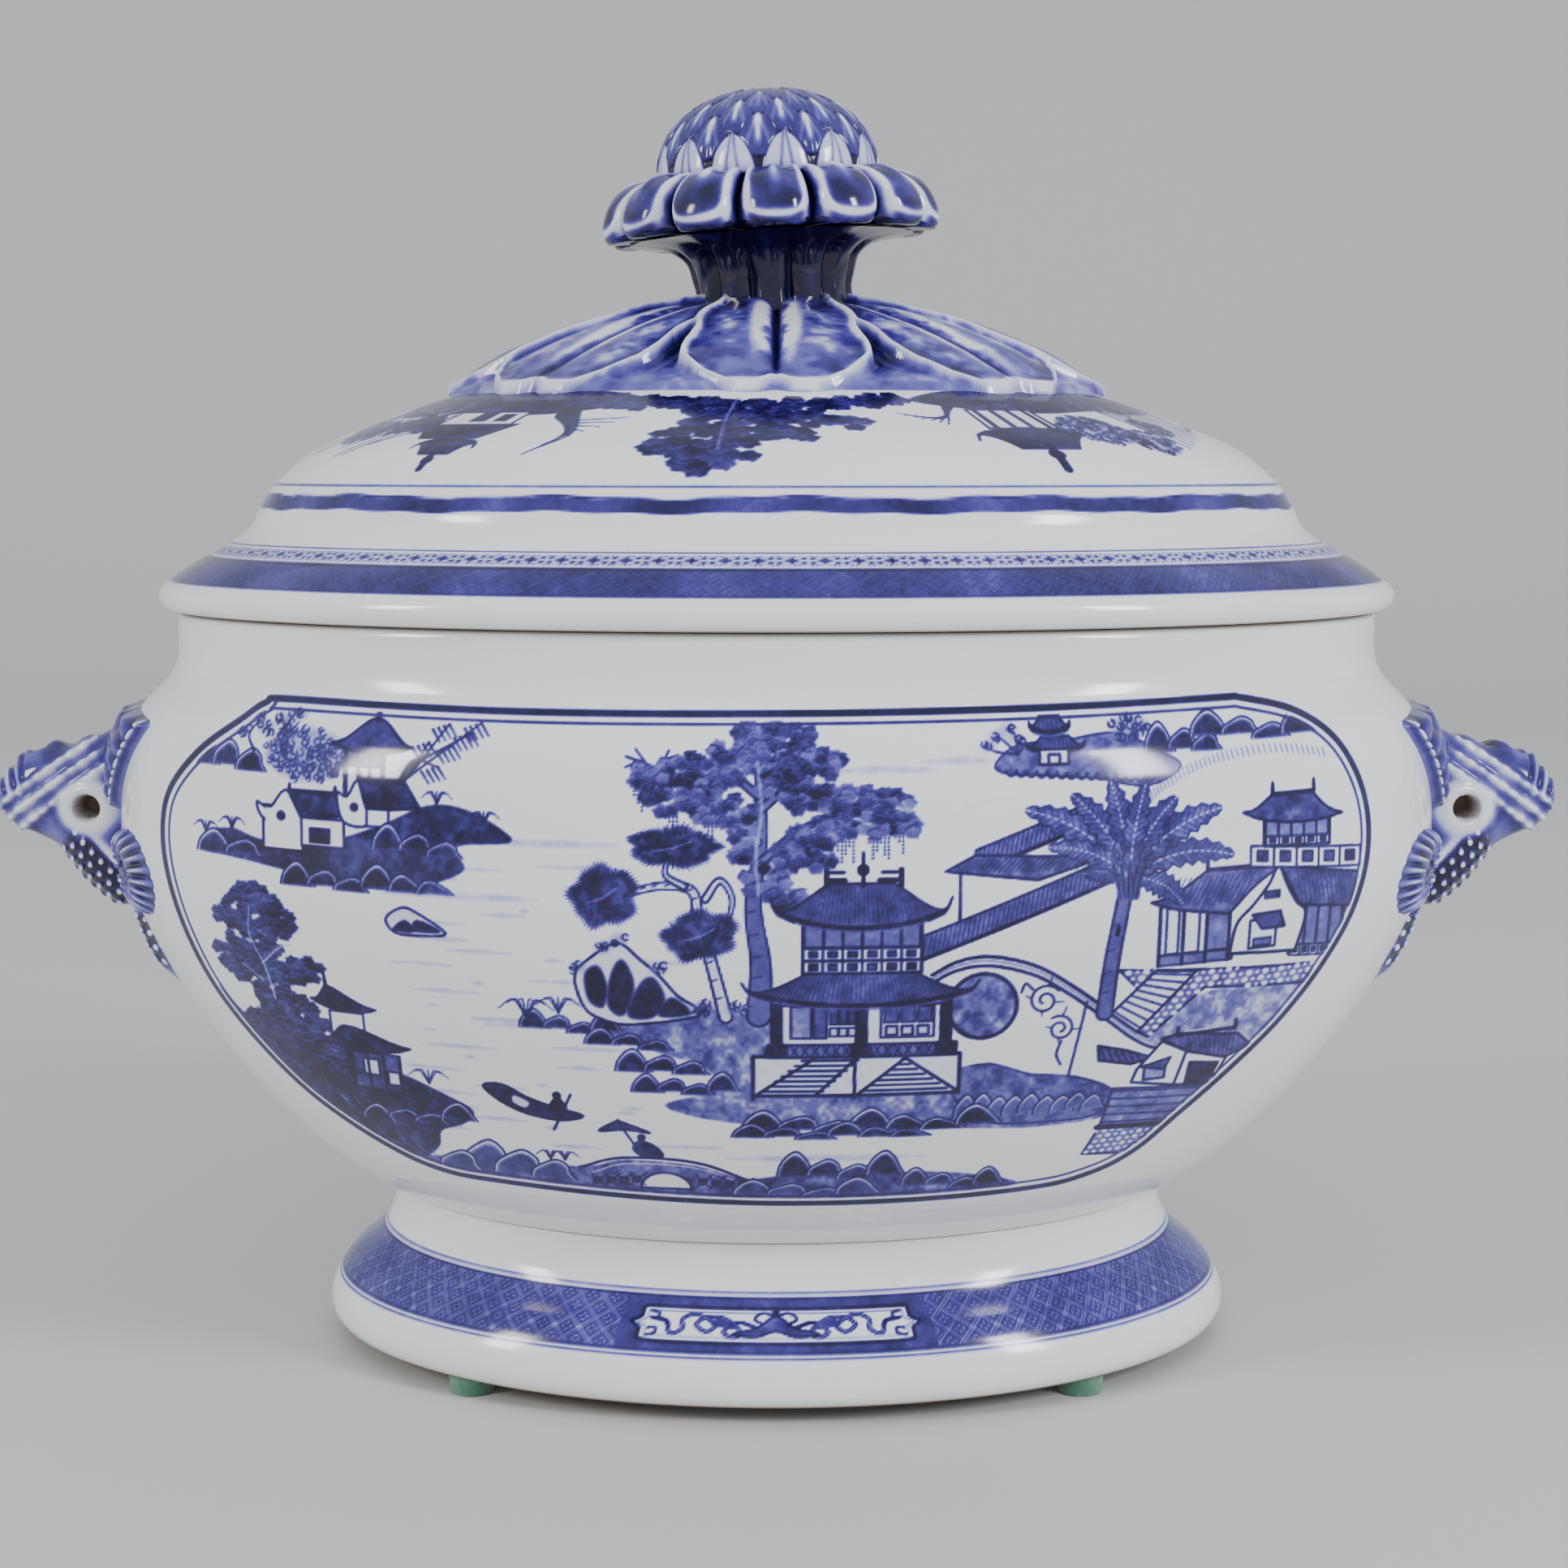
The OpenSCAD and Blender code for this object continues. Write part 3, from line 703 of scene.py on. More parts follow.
def middleBank(s):
    mass(s, [(-33, 89.4), (-26, 93), (-14, 94.6), (2, 94), (20, 93), (36, 80.6), (42.6, 82), (51, 79),
             (58.5, 78.2),
             (68.4, 73.6), (67.6, 67), (50, 66), (30, 67.6), (8, 68.6), (-10, 69.4), (-22, 73), (-12, 77),
             (-14, 82),
             (-23, 85)], 0.40, 0.75)
    mass(s, [(34, 79.6), (42.6, 81.6), (51, 78.6), (58.5, 77.8), (68.2, 73.4), (67, 68), (54, 67), (40, 69)],
         0.5, 0.6,
         edge=(0.4, 0.8))
    for k in range(9):
        hump(s, 38 + 3.3 * k, 69.4 + 0.4 * math.sin(k * 2), 5, 5.4 - 0.25 * k, 0.5, 0.3)
    humps(s, -6, 44, 67.4, 4.8, 7, 0, 0.9)
    humps(s, -8, 30, 65.9, 3.2, 6, 0, 0.9)
    humps(s, -50, -31, 89.6, 4.0, 4, -0.6, 0.92)
    humps(s, -37, -21, 86.6, 3.6, 3, -0.6, 0.92)
    humps(s, -31, -14, 80.6, 5.0, 3, 0.3, 0.9)
    humps(s, -28, -8, 76, 4.2, 4, 0.4, 0.9)
    tuft(s, -49, 91.6, 5.2, 6)
    tuft(s, -42.5, 93, 4.2, 5)
    # worn garden rock
    outline = rounded([(-37.4, 94.5), (-39, 101), (-35.6, 105), (-30.4, 108), (-26, 104.6), (-22.4, 101.4),
                       (-19, 97.4),
                       (-14.6, 93.4), (-28, 91), (-34, 92)], 5, closed=True)
    fill(s, outline, 0.06, uneven=0, outline=(0.5, 0.95))
    for shape in ([(-36.4, 96), (-37, 101.4), (-34.4, 103.2), (-32.8, 99), (-33.6, 94.6)],
                  [(-32.6, 95), (-31.8, 101.6), (-29.6, 104.6), (-27.4, 99.4), (-29.6, 93)],
                  [(-28.8, 93), (-26.4, 99.4), (-23.6, 101), (-21.4, 96.6), (-24, 92.6)],
                  [(-22.6, 93), (-20.2, 97), (-16.4, 93.6)]):
        fill(s, rounded(shape, 5, closed=True), 0.93, uneven=0.2, soft=0.8)
    for x, z in ((-38.4, 102.8), (-33.4, 107), (-30.2, 108.8), (-22.6, 102.8), (-13.4, 95.4)):
        scribble(s, x, z, 1.6, 1.1, 0.9)


def greatTree(s):
    stroke(s, rounded([(-28.6, 144), (-24, 142.4), (-18.6, 140)]), 0.5, 0.8)
    for a, b in (((-24.6, 142.6), (-26.8, 145.4)), ((-22, 141.8), (-20.4, 145.2)),
                 ((-20.8, 143.6), (-18.6, 144.4)),
                 ((-26, 143.2), (-28.8, 142))):
        stroke(s, [a, b], 0.42, 0.8)
    trunk(s, [(-3.2, 93.4), (-2.8, 104), (-4.2, 116), (-2.6, 130), (-3.4, 146)], 4.6, 0.48, True, 0.3)
    for line in ([(-3.4, 128), (-10, 134.5), (-21, 137.5)], [(-3, 124), (6, 131), (18, 134)],
                 [(-3, 134), (4, 140), (8, 143)],
                 [(-3.4, 137), (-9, 141.5), (-12, 143)]):
        trunk(s, line, 1.5, 0.45, False)
    leafy = [(-24, 139.6, 4.4, 3), (-18, 141.4, 4.6, 3), (-11.5, 140.4, 5, 3.4), (-20.5, 135.6, 5, 2.8),
             (-12.5, 135, 5.4, 3), (-6.8, 132.2, 3.6, 3.4), (-6.5, 127, 3.2, 2.6), (-8, 145.4, 4, 2.6),
             (-2.6, 148.6, 4.6, 2.4),
             (3.6, 146.4, 4.6, 2.8), (-2, 143.8, 5, 2.6), (9, 142.8, 4.6, 2.4), (1, 139.6, 5.4, 2.8),
             (6.4, 136.4, 6, 2.8),
             (14, 136.2, 5.4, 2.8), (21.4, 134.6, 4.6, 2.8), (25, 131.4, 3.2, 2.0), (16.4, 131, 5.4, 2.4),
             (8.4, 129.6, 5.2, 2.8), (4, 125.4, 4.4, 2.4), (9, 124.6, 2.6, 1.8), (-2, 120.4, 4.6, 3),
             (3, 116.6, 3, 2.2)]
    foliage(s, leafy, 0.36, 0.92, 1.45)
    for x, z, n in ((-27, 137.6, 5), (-21, 133.4, 4), (-13.5, 131.6, 4), (12, 128, 5), (18, 128.6, 6),
                    (23, 129.6, 3)):
        for k in range(n):
            fall = 3.4 + 1.8 * math.sin(k * 1.9 + x)
            for j in range(int(fall / 0.75)):
                dot(s, x + 0.75 * k, z - 0.75 * j, 0.24, 0.75)
    stroke(s, rounded([(-3.2, 118), (-3.6, 126), (-2.6, 134), (-3.4, 143)]), 0.8, 0.22, strength=0.8)


def pineTree(s):
    trunk(s, [(-9.6, 93), (-12, 103), (-14.6, 112.6), (-16, 118.6), (-22, 119.4), (-28, 118)], 2.4, 0.08)
    trunk(s, [(-13.4, 117), (-10.6, 120.6), (-8.2, 117), (-9.4, 111.6)], 1.3, 0.08, False)
    trunk(s, [(-17.5, 119.4), (-21, 121.6), (-20.4, 125)], 1.2, 0.08, False)
    pineCloud(s, -19.4, 127, 8.2, 3.7)
    pineCloud(s, -33, 117.2, 6.2, 5.6, 0.25)
    pineCloud(s, -14.4, 109.8, 6.8, 4.6, 0.2)
    for x in (-14.5, -7.5):
        scribble(s, x, 94.6, 2.2, 1.2, 0.9)


def tallHall(s):
    # stair and plinth
    box(s, -4.4, 75.6, 36.4, 84.4, 0.06, 0.7)
    for k in range(7):
        z = 76.6 + 1.15 * k
        stroke(s, [(-2.6 + 1.3 * k, z), (9.4 + 1.15 * k, z)], 0.5, 0.9)
        stroke(s, [(17.4 + 1.3 * k, z), (34 - 1.5 * k, z)], 0.5, 0.9)
    for a, b in (((-3.8, 75.8), (8, 84.2)), ((8, 75.8), (16, 84)), ((15.6, 75), (15.6, 84)),
                 ((16, 75.6), (25.6, 83.8)),
                 ((25.6, 83.8), (36, 76)), ((-4.4, 74.8), (-4.4, 84.4)), ((36.4, 75.4), (36.4, 84.4))):
        stroke(s, [a, b], 0.6, 0.96)
    box(s, -1.4, 84.2, 35.6, 87, 0.5, 0.5)
    for k in range(18):
        x = -1 + 2.03 * k
        stroke(s, [(x, 84.4), (x + 1.4, 86.8)], 0.28, 0.95)
        stroke(s, [(x + 1.4, 84.4), (x, 86.8)], 0.28, 0.95)
    # open ground floor
    box(s, 1, 87, 34, 95.4, 0.05, 0.4)
    for a, b, tone in ((3, 7, 0.3), (7.4, 10, 0.5), (20.6, 31, 0.04)):
        box(s, a, 88.4, b, 95.2, tone, 0.4)
    for k in range(3):
        box(s, 10.6 + 1.8 * k, 91.4, 12.2 + 1.8 * k, 95, 0.6, 0.3)
        box(s, 10.6 + 1.8 * k, 88.8, 12.2 + 1.8 * k, 90.6, 0.15, 0.3)
        box(s, 21.6 + 3.1 * k, 88.9, 23.8 + 3.1 * k, 90.8, 0.12, 0.4)
        box(s, 21.2 + 3.3 * k, 91.6, 24 + 3.3 * k, 95, 0.55, 0.3)
    for x in (0.2, 16.8, 33.4):
        stroke(s, [(x, 86.6), (x, 95.8)], 2.5, 0.95)
        fill(s, rounded([(x - 2.4, 84.4), (x - 1.7, 87.2), (x + 1.7, 87.2), (x + 2.4, 84.4)], 3), 0.97)
    # lower roof, gallery, upper roof
    roof(s, 16.6, 96.2, 43, 6.4, 0.58, 0.30, 0.28)
    box(s, 5.2, 102, 28.4, 107.4, 0.05, 0.4)
    windows(s, 5.4, 102.2, 28.2, 104.6, 6)
    windows(s, 5.4, 104.8, 28.2, 107.2, 6)
    box(s, 5.2, 107.4, 28.4, 112.4, 0.42, 0.4)
    posts(s, 5.6, 28, 107.4, 112.4, 7, 0.5)
    roof(s, 16.6, 112.2, 32.5, 7.8, 0.56, 0.26, 0.26)
    for a, b in (((9.8, 120.6), (13.4, 120.6)), ((20, 120.6), (24.2, 120.6))):
        stroke(s, [a, b], 0.9, 0.98)
    for x in (9.8, 24.2):
        stroke(s, [(x, 119.6), (x, 122.6)], 1.0, 0.98)
    stroke(s, [(13.2, 122.2), (10.6, 122.2)], 0.6, 0.95)
    stroke(s, [(20.6, 122.2), (23.4, 122.2)], 0.6, 0.95)
    stroke(s, [(16.9, 119.6), (16.9, 126)], 0.9, 0.98, ends=(1, 0.5))
    dot(s, 16.9, 122.6, 1.15, 0.98)


def gardenWall(s):
    crest = [(30.4, 101.4), (35.4, 104), (42, 104.8), (51, 102.4), (59, 97.4), (66.4, 91.6), (72, 87),
             (77, 84.2), (83, 83.6)]
    line = rounded(crest, 8)
    fill(s, np.vstack([line, [(84, 80), (76, 80.6), (60, 77.6), (51, 79), (42, 82.2), (36, 81), (32, 90)]]),
         0.02, uneven=0)
    ring = [(40.6 + 6.8 * math.cos(a), 94.4 + 6.9 * math.sin(a)) for a in np.linspace(0, tau, 34)]
    fill(s, ring, 0.46, uneven=0.7, outline=(0.75, 0.92))
    stroke(s, line, 0.65, 0.95)
    stroke(s, line - (0.3, 1.9), 0.6, 0.92)
    stroke(s, line - (0.15, 0.9), 0.5, 0.32)
    curl(s, 53, 95, 3.4, 1, 0.6)
    curl(s, 56.4, 88.6, 3.0, -1, 2.2)
    stroke(s, rounded([(50.6, 97.4), (49, 98.8), (48.2, 97)]), 0.42, 0.9)
    stroke(s, rounded([(56.8, 85.8), (56, 82.8), (57, 80.4)]), 0.42, 0.9)
    stroke(s, [(61.6, 94), (58.8, 77.6)], 0.5, 0.8)
    fill(s, [(64.6, 84), (70.6, 82.4), (76.6, 80), (72, 79), (65, 80.6)], 0.55, outline=(0.5, 0.95))
    for k in range(6):
        stroke(s, [(65 + 1.6 * k, 83.8 - 0.5 * k), (66.4 + 1.6 * k, 80.6 - 0.4 * k)], 0.3, 0.98)


def coveredWalk(s):
    stroke(s, [(35.6, 121.4), (35.6, 112.6)], 0.6, 0.85)
    hatched(s, (38.6, 126), (60, 134), 4.2, 0.45)
    fill(s, [(32.8, 122), (38.6, 125), (64.4, 123.8), (51, 119.8)], 0.5, uneven=0.5, outline=(0.5, 0.95))
    for k in range(22):
        x = 35.4 + 1.1 * k
        stroke(s, [(x, 121.6), (x + 2.6, 124.2)], 0.26, 0.92, strength=0.7)
    hatched(s, (28.4, 109.4), (66, 123.8), 4.8, 0.45)


def bananaTree(s):
    trunk(s, [(65.4, 91.4), (66.4, 103), (68.6, 117)], 3.2, 0.5, True, 0.85)
    stroke(s, [(67.2, 108), (67.4, 109.4)], 0.9, 0.98)
    heart = (69.4, 119.4)
    for tip, swell, wide in (((80.6, 113.4), 3, 2.2), ((91.4, 122.4), 5, 2.3), ((60, 120.6), -1.5, 2.0),
                             ((88.6, 132), 4.5, 2.6),
                             ((48.4, 133.4), -4.5, 2.5), ((79, 134.6), 2.5, 2.5), ((57.6, 136), -2.6, 2.4),
                             ((65.4, 138.4), -1.0, 2.4), ((72.6, 137.4), 1.2, 2.3), ((53, 126), -3.4, 2.0)):
        frond(s, heart, tip, swell, wide)
    for k in range(5):
        stroke(s, rounded([(67.6 + 0.8 * k, 115.4), (67 + 1.1 * k, 118.4), (66 + 1.7 * k, 122)]), 1.3, 0.55,
               ends=(1, 0.6))
        stroke(s, rounded([(67.6 + 0.8 * k, 115.4), (67 + 1.1 * k, 118.4), (66 + 1.7 * k, 122)]), 0.3, 0.95)


def topIsland(s):
    mass(s, [(42.4, 142), (46.6, 145.6), (56, 146.4), (67, 147.4), (75, 144), (80, 140.6), (73, 137.2),
             (62.6, 139),
             (52, 140), (45, 140.4)], 0.5, 0.6, edge=(0.35, 0.85))
    for k in range(15):
        stroke(s, curve((44.6 + 2 * k, 141), (44.8 + 2 * k, 139.6), (46.2 + 2 * k, 139.6), (46.6 + 2 * k,
                                                                                            141), 6)
               - (0, 0.14 * k), 0.45, 0.85)
    roof(s, 54.4, 144.6, 11, 2.6, 0.6)
    roof(s, 53.4, 148.2, 7.6, 2.8, 0.65)
    box(s, 51.2, 142, 57, 144.8, 0.05, 0.5)
    box(s, 53, 142, 55.2, 143.8, 0.05, 0.5)
    for x, z in ((43, 147.4), (41.2, 145.6), (45, 148.6), (46.6, 146.8)):
        stroke(s, rounded([(47, 144), (x + 1.4, z - 1), (x, z)]), 0.45, 0.85)
        scribble(s, x, z, 1.5, 0.9, 0.95)
    scribble(s, 69.6, 148.4, 4.2, 2.2, 0.85)
    humps(s, 73, 88, 143.4, 5.6, 3, 0.6, 0.9)
    humps(s, 83, 110, 146.4, 4.6, 4, -1.4, 0.85)
    ridge = rounded([(71.6, 134.6), (77, 138.4), (84, 141.6), (92, 143.2), (102, 143.6), (112, 142)], 8)
    for p in ridge:
        stroke(s, [p, p + (0.5, -1.6)], 0.34, 0.45, strength=0.8)


def rightHalls(s):
    mass(s, [(70, 92), (78, 90), (88, 94), (104, 93), (110, 92), (108, 84), (99, 81), (90, 85), (82, 85),
             (76, 83)], 0.3, 0.9)
    # cobbled terrace and stair
    cobbles(s, [(68, 100.4), (112, 97), (110.4, 92.6), (86.6, 95), (75, 85), (71.4, 87.6), (76, 92)], 1.4)
    stair = np.array([(66.8, 91), (75.6, 99.6), (84.4, 98.8), (72.6, 86.4)])
    fill(s, stair, 0.05, uneven=0, outline=(0.55, 0.95))
    for k in range(8):
        t = (k + 0.5) / 8
        stroke(s, [stair[0] + (stair[1] - stair[0]) * t, stair[3] + (stair[2] - stair[3]) * t], 0.4, 0.85)
    # hall walls
    box(s, 76, 101, 91, 113, 0.04, 0.5)
    for k, (a, b, tone) in enumerate(((77.4, 80, 0.04), (81, 84.4, 0.04), (86, 91, 0.42))):
        box(s, a, 103, b, 112.6, tone, 0.4)
    box(s, 76, 100.6, 92, 102.8, 0.42, 0.4)
    posts(s, 76, 91, 100.6, 113.4, 4, 0.7)
    box(s, 105, 100, 118, 110.6, 0.4, 0.5, slope=-0.12)
    posts(s, 105.5, 117.5, 100, 110, 5, 0.5, -0.12)
    windows(s, 105.4, 99.6, 117, 102, 5, -0.12)
    # roofs
    fill(s, np.vstack([curve((74, 114), (79, 114.4), (83, 118), (86, 119.8), 8), [(102, 119)],
                       curve((102, 119), (95, 116), (93, 112), (90.6, 110.4), 8),
                       curve((90.6, 110.4), (86, 111.4), (79, 111.6), (74, 114), 8)]), 0.56, uneven=0.5,
         outline=(0.5, 0.95))
    for k in range(15):
        x = 77 + 1.15 * k
        stroke(s, [(x, 113), (x + 3, 118.4)], 0.26, 0.92, strength=0.6)
    fill(s, [(102, 119.2), (121, 115.8), (119.6, 108.6), (107, 110.6)], 0.56, uneven=0.5, outline=(0.5, 0.95))
    for k in range(12):
        x = 107 + 1.1 * k
        stroke(s, [(x - 1, 117.4 - 0.1 * k), (x + 0.4, 111 - 0.12 * k)], 0.26, 0.92, strength=0.6)
    gable = rounded([(91.4, 101.8), (92.6, 108), (96, 111.6), (99.4, 115.6), (101.6, 119.2), (103.6, 115.4),
                     (106, 111.4),
                     (108.4, 108.6), (106.6, 100.6)], 5)
    fill(s, gable, 0.02, uneven=0, outline=(0.6, 0.95))
    box(s, 98.6, 112.8, 102, 114.2, 0.8, 0.3)
    box(s, 95.6, 102.4, 101.6, 108.4, 0.04, 0.45)
    fill(s, [(96, 109.6), (102.4, 109.8), (103.6, 106.4), (98.4, 106.4)], 0.62, outline=(0.45, 0.95))
    box(s, 96.6, 102.8, 100.6, 104.4, 0.5, 0.3)
    horns(s, (85.8, 100.8), 119.8, 2.4)
    # upper hall
    windows(s, 95.2, 119.6, 121.4, 123.8, 5, -0.1)
    box(s, 98, 123.6, 113.6, 128.8, 0.32, 0.45, slope=-0.06)
    posts(s, 98.4, 113.2, 123.4, 128.6, 6, 0.5, -0.06)
    windows(s, 98.6, 123.6, 113.4, 125.4, 5, -0.06)
    fill(s, np.vstack([curve((93.4, 130.6), (97, 130.4), (98, 133), (100.6, 134), 6),
                       curve((109.4, 133.4), (111.6, 131), (113, 129.4), (116.6, 128.6), 6),
                       curve((116.6, 128.6), (110, 127), (99, 127.4), (93.4, 130.6), 8)]), 0.56, uneven=0.5,
         outline=(0.5, 0.95))
    horns(s, (100, 109.6), 133.8, 2.2)


def lowerHouse(s):
    fill(s, [(68.6, 73.6), (90, 71.4), (86, 62.4), (66.4, 64)], 0.4, uneven=0.5, outline=(0.45, 0.9))
    for k in range(5):
        stroke(s, [(67 + 0.3 * k, 65.4 + 1.9 * k), (84 + 1.0 * k, 63.8 + 1.8 * k)], 0.4, 0.85)
    cobbles(s, [(63.4, 57.6), (66.4, 64), (84.6, 62.4), (77, 56)], 1.3)
    stroke(s, [(66, 64.2), (86, 62.6)], 1.2, 0.95)
    wall = [(72.4, 74.6), (73.4, 77.6), (78.4, 83.6), (84, 80.6), (82, 72.6)]
    fill(s, wall, 0.02, uneven=0, outline=(0.55, 0.95))
    fill(s, [(84, 80.4), (93.6, 77.8), (90.6, 71.6), (82, 72.6)], 0.02, uneven=0, outline=(0.5, 0.95))
    fill(s, [(85, 77.8), (91.8, 76.6), (90, 71.8), (84.4, 72.6)], 0.88, uneven=0.2, outline=(0.3, 1))
    box(s, 75, 74.8, 79.6, 78.2, 0.3, 0.5)
    fill(s, [(74.2, 78), (80.6, 79.6), (79.4, 76.8)], 0.6, outline=(0.4, 0.95))
    fill(s, [(78.2, 84.2), (82, 85), (95.4, 83), (99, 79.6), (93, 77.6), (84, 80.6)], 0.55, uneven=0.5,
         outline=(0.5, 0.95))
    for k in range(10):
        stroke(s, [(84 + 1.2 * k, 84), (85.4 + 1.0 * k, 79.8 - 0.15 * k)], 0.26, 0.92, strength=0.6)
    horns(s, (81.6, 94.6), 84.6, 1.8)


def water(s):
    for k in range(60):
        x = -40 + 30 * math.sin(k * 2.4)
        z = 62 + 1.1 * k
        size = 5 + 4 * math.sin(k * 1.3)
        if z < 128 and x < -26 - 0.2 * (z - 95):
            mass(s, [(x - size, z), (x, z + 0.5), (x + size, z), (x, z - 0.35)], 0.13, 0.8, 1.0)
            stroke(s, rounded([(x - size, z), (x, z + 0.2), (x + size, z)]), 0.26, 0.2, strength=0.5)
    for x, z, w in ((-44, 127, 14), (-24, 104, 7), (36, 143, 8), (20, 141.5, 12), (-58, 116, 12),
                    (10, 60.6, 20)):
        mass(s, [(x - w, z), (x, z + 0.8), (x + w, z), (x, z - 0.6)], 0.14, 0.6, 1.2)


# the reserve on each side of the bowl, in millimetres across and up
panel = {
    "outline": [(0, 152), (50, 152.4), (88, 153), (95, 152.6), (107, 149.4), (116, 143), (122, 132.5),
                (123.6, 121),
                (120.6, 108), (114, 96), (105, 84.4), (94.4, 74), (84, 64.6), (75, 56.4), (65, 51.8),
                (50, 49.8),
                (0, 49.2), (-53, 51), (-70, 52), (-83, 56.8), (-98, 66), (-109, 76.4), (-118.6, 88.6),
                (-124.6, 101),
                (-128.4, 114), (-129.4, 124), (-127, 132.4), (-119.4, 141), (-110, 147.6), (-104.5, 151.2),
                (-98, 152.2), (-50, 151.8)],
    "thick": 1.25,
    "thin": 0.5,
    "gap": 1.9,
}


def landscape():
    s = newSheet(-136, 44, 268, 114, 0.2)
    water(s)
    farShore(s)
    leftShore(s)
    lowerEdge(s)
    topIsland(s)
    middleBank(s)
    coveredWalk(s)
    gardenWall(s)
    rightHalls(s)
    lowerHouse(s)
    bananaTree(s)
    greatTree(s)
    pineTree(s)
    tallHall(s)
    # nothing is painted outside the double line
    ring = rounded(panel["outline"], 8, closed=True)
    ring = np.vstack([ring[-4:], ring, ring[:5]])
    inner = pushed(ring, -panel["gap"])[4:-4]
    clear = dict(s, ink=np.zeros_like(s["ink"]))
    fill(clear, pushed(ring, -panel["gap"] * 0.7)[4:-4], 1.0, uneven=0)
    s["ink"] *= clear["ink"]
    stroke(s, ring[4:-4], panel["thick"], 0.9)
    stroke(s, inner, panel["thin"], 0.72)
    return s


scenery = landscape()
print("landscape painted")


bowl = {"wall": 5.5, "columns": 420, "film": 0.10, "pitch": 0.32}


def bowlOutline():
    shoulder = (bellyR * 0.9564, 147.5)
    neckR = bellyR * 0.908
    return join(curve((89, waistZ), (111, waistZ + 8), (bellyR, 91.5), (bellyR, 118), 90),
                curve((bellyR, 118), (bellyR, 132), (148, 141.5), shoulder, 50),
                curve(shoulder, (138, 152), (neckR, 154), (neckR, 160), 40))


def makeBowl():
    outer = bowlOutline()
    inner = pushed(outer, bowl["wall"])
    inner = inner[inner[:, 1] > waistZ + bowl["wall"] + 0.2][::-1]
    top, mouth = outer[-1, 0], inner[0, 0]
    rim = curve((top, rimZ - 2.5), (top, rimZ), (top - 0.8, rimZ), (top - 2.2, rimZ), 10)
    rimIn = curve((mouth + 2.2, rimZ), (mouth + 0.6, rimZ), (mouth, rimZ), (mouth, rimZ - 2.5), 10)
    under = np.array([(0.5, waistZ), (20, waistZ), (60, waistZ), (84, waistZ)])
    floor = curve(inner[-1], inner[-1] - (5, 1.2), (70, waistZ + bowl["wall"]), (55, waistZ + bowl["wall"]),
                  16)
    line = join(under, outer, rim, rimIn, inner, floor, np.array([(30, floor[-1, 1]), (0.5, floor[-1, 1])]))
    line = evenly(line, 1.1)
    angles = ovalRing(bowl["columns"])
    bare = np.clip((line[:, 1] - rimZ + 0.5) / 0.5, 0, 1) * (line[:, 0] > mouth - 1)
    piece = skin("bowlShell", turned(line, angles), {"cobalt": 0.0, "bare": 0.5 * bare[:, None]}, whiteGlaze,
                 "tureen",
                 ends=(True, True))
    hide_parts("bowl_shell")


def makePainting(name, sheet, facing):
    line = evenly(pushed(bowlOutline(), -bowl["film"]), bowl["pitch"])
    line = line[(line[:, 1] > 45.5) & (line[:, 1] < 155)]
    angles = np.linspace(-1.16, 1.16, 960)
    points = turned(line, angles)
    ink = readSheet(sheet, points[..., 0], points[..., 2])
    rows, cols = ink.shape
    edge = np.minimum.outer(np.minimum(np.arange(rows), np.arange(rows)[::-1]),
                            np.minimum(np.arange(cols), np.arange(cols)[::-1]))
    sunk = pushed(line, 0.25)
    points = np.where((edge < 1)[..., None], turned(sunk, angles),
                      points)  # the film's edge is buried in the wall
    if facing == "back":
        points = points * (-1, -1, 1)
    piece = skin(name, points, {"cobalt": ink, "bare": 0.0}, paintedGlaze, "tureen", wrap=False)


makeBowl()
makePainting("paintedFront", scenery, "front")
makePainting("paintedBack", scenery, "back")
print("bowl made")


# foot, with its lattice band and two white cartouches

foot = {"wall": 5.5, "columns": 1350, "flat": 12, "band": (15.6, 25.2), "card": 30.5, "cell": 5.6}


def footOutline():
    topR, bottomR = 89, 102.5
    return join(np.array([(bottomR - foot["flat"], padTop), (bottomR - 0.8, padTop),
                          (bottomR, padTop + 0.6)]),
                curve((bottomR, 4.6), (106.5, 9), (101.5, 16.5), (96.5, 20.5), 60),
                curve((96.5, 20.5), (90, 25.5), (88, 30), (topR, 36.35), 40))


def lattice(u, v, cell):  # crossing double lines with four small squares in each diamond
    p, q = (u + v) / cell, (u - v) / cell
    a, b = np.abs(p - np.round(p)), np.abs(q - np.round(q))
    line = np.maximum(np.exp(-((a - 0.07) / 0.035) ** 2), np.exp(-((b - 0.07) / 0.035) ** 2))
    c, d = np.abs(np.abs(p - np.floor(p) - 0.5) - 0.14), np.abs(np.abs(q - np.floor(q) - 0.5) - 0.14)
    squares = np.clip((0.10 - np.maximum(c, d)) / 0.05, 0, 1)
    return np.maximum(line, squares * 0.9)


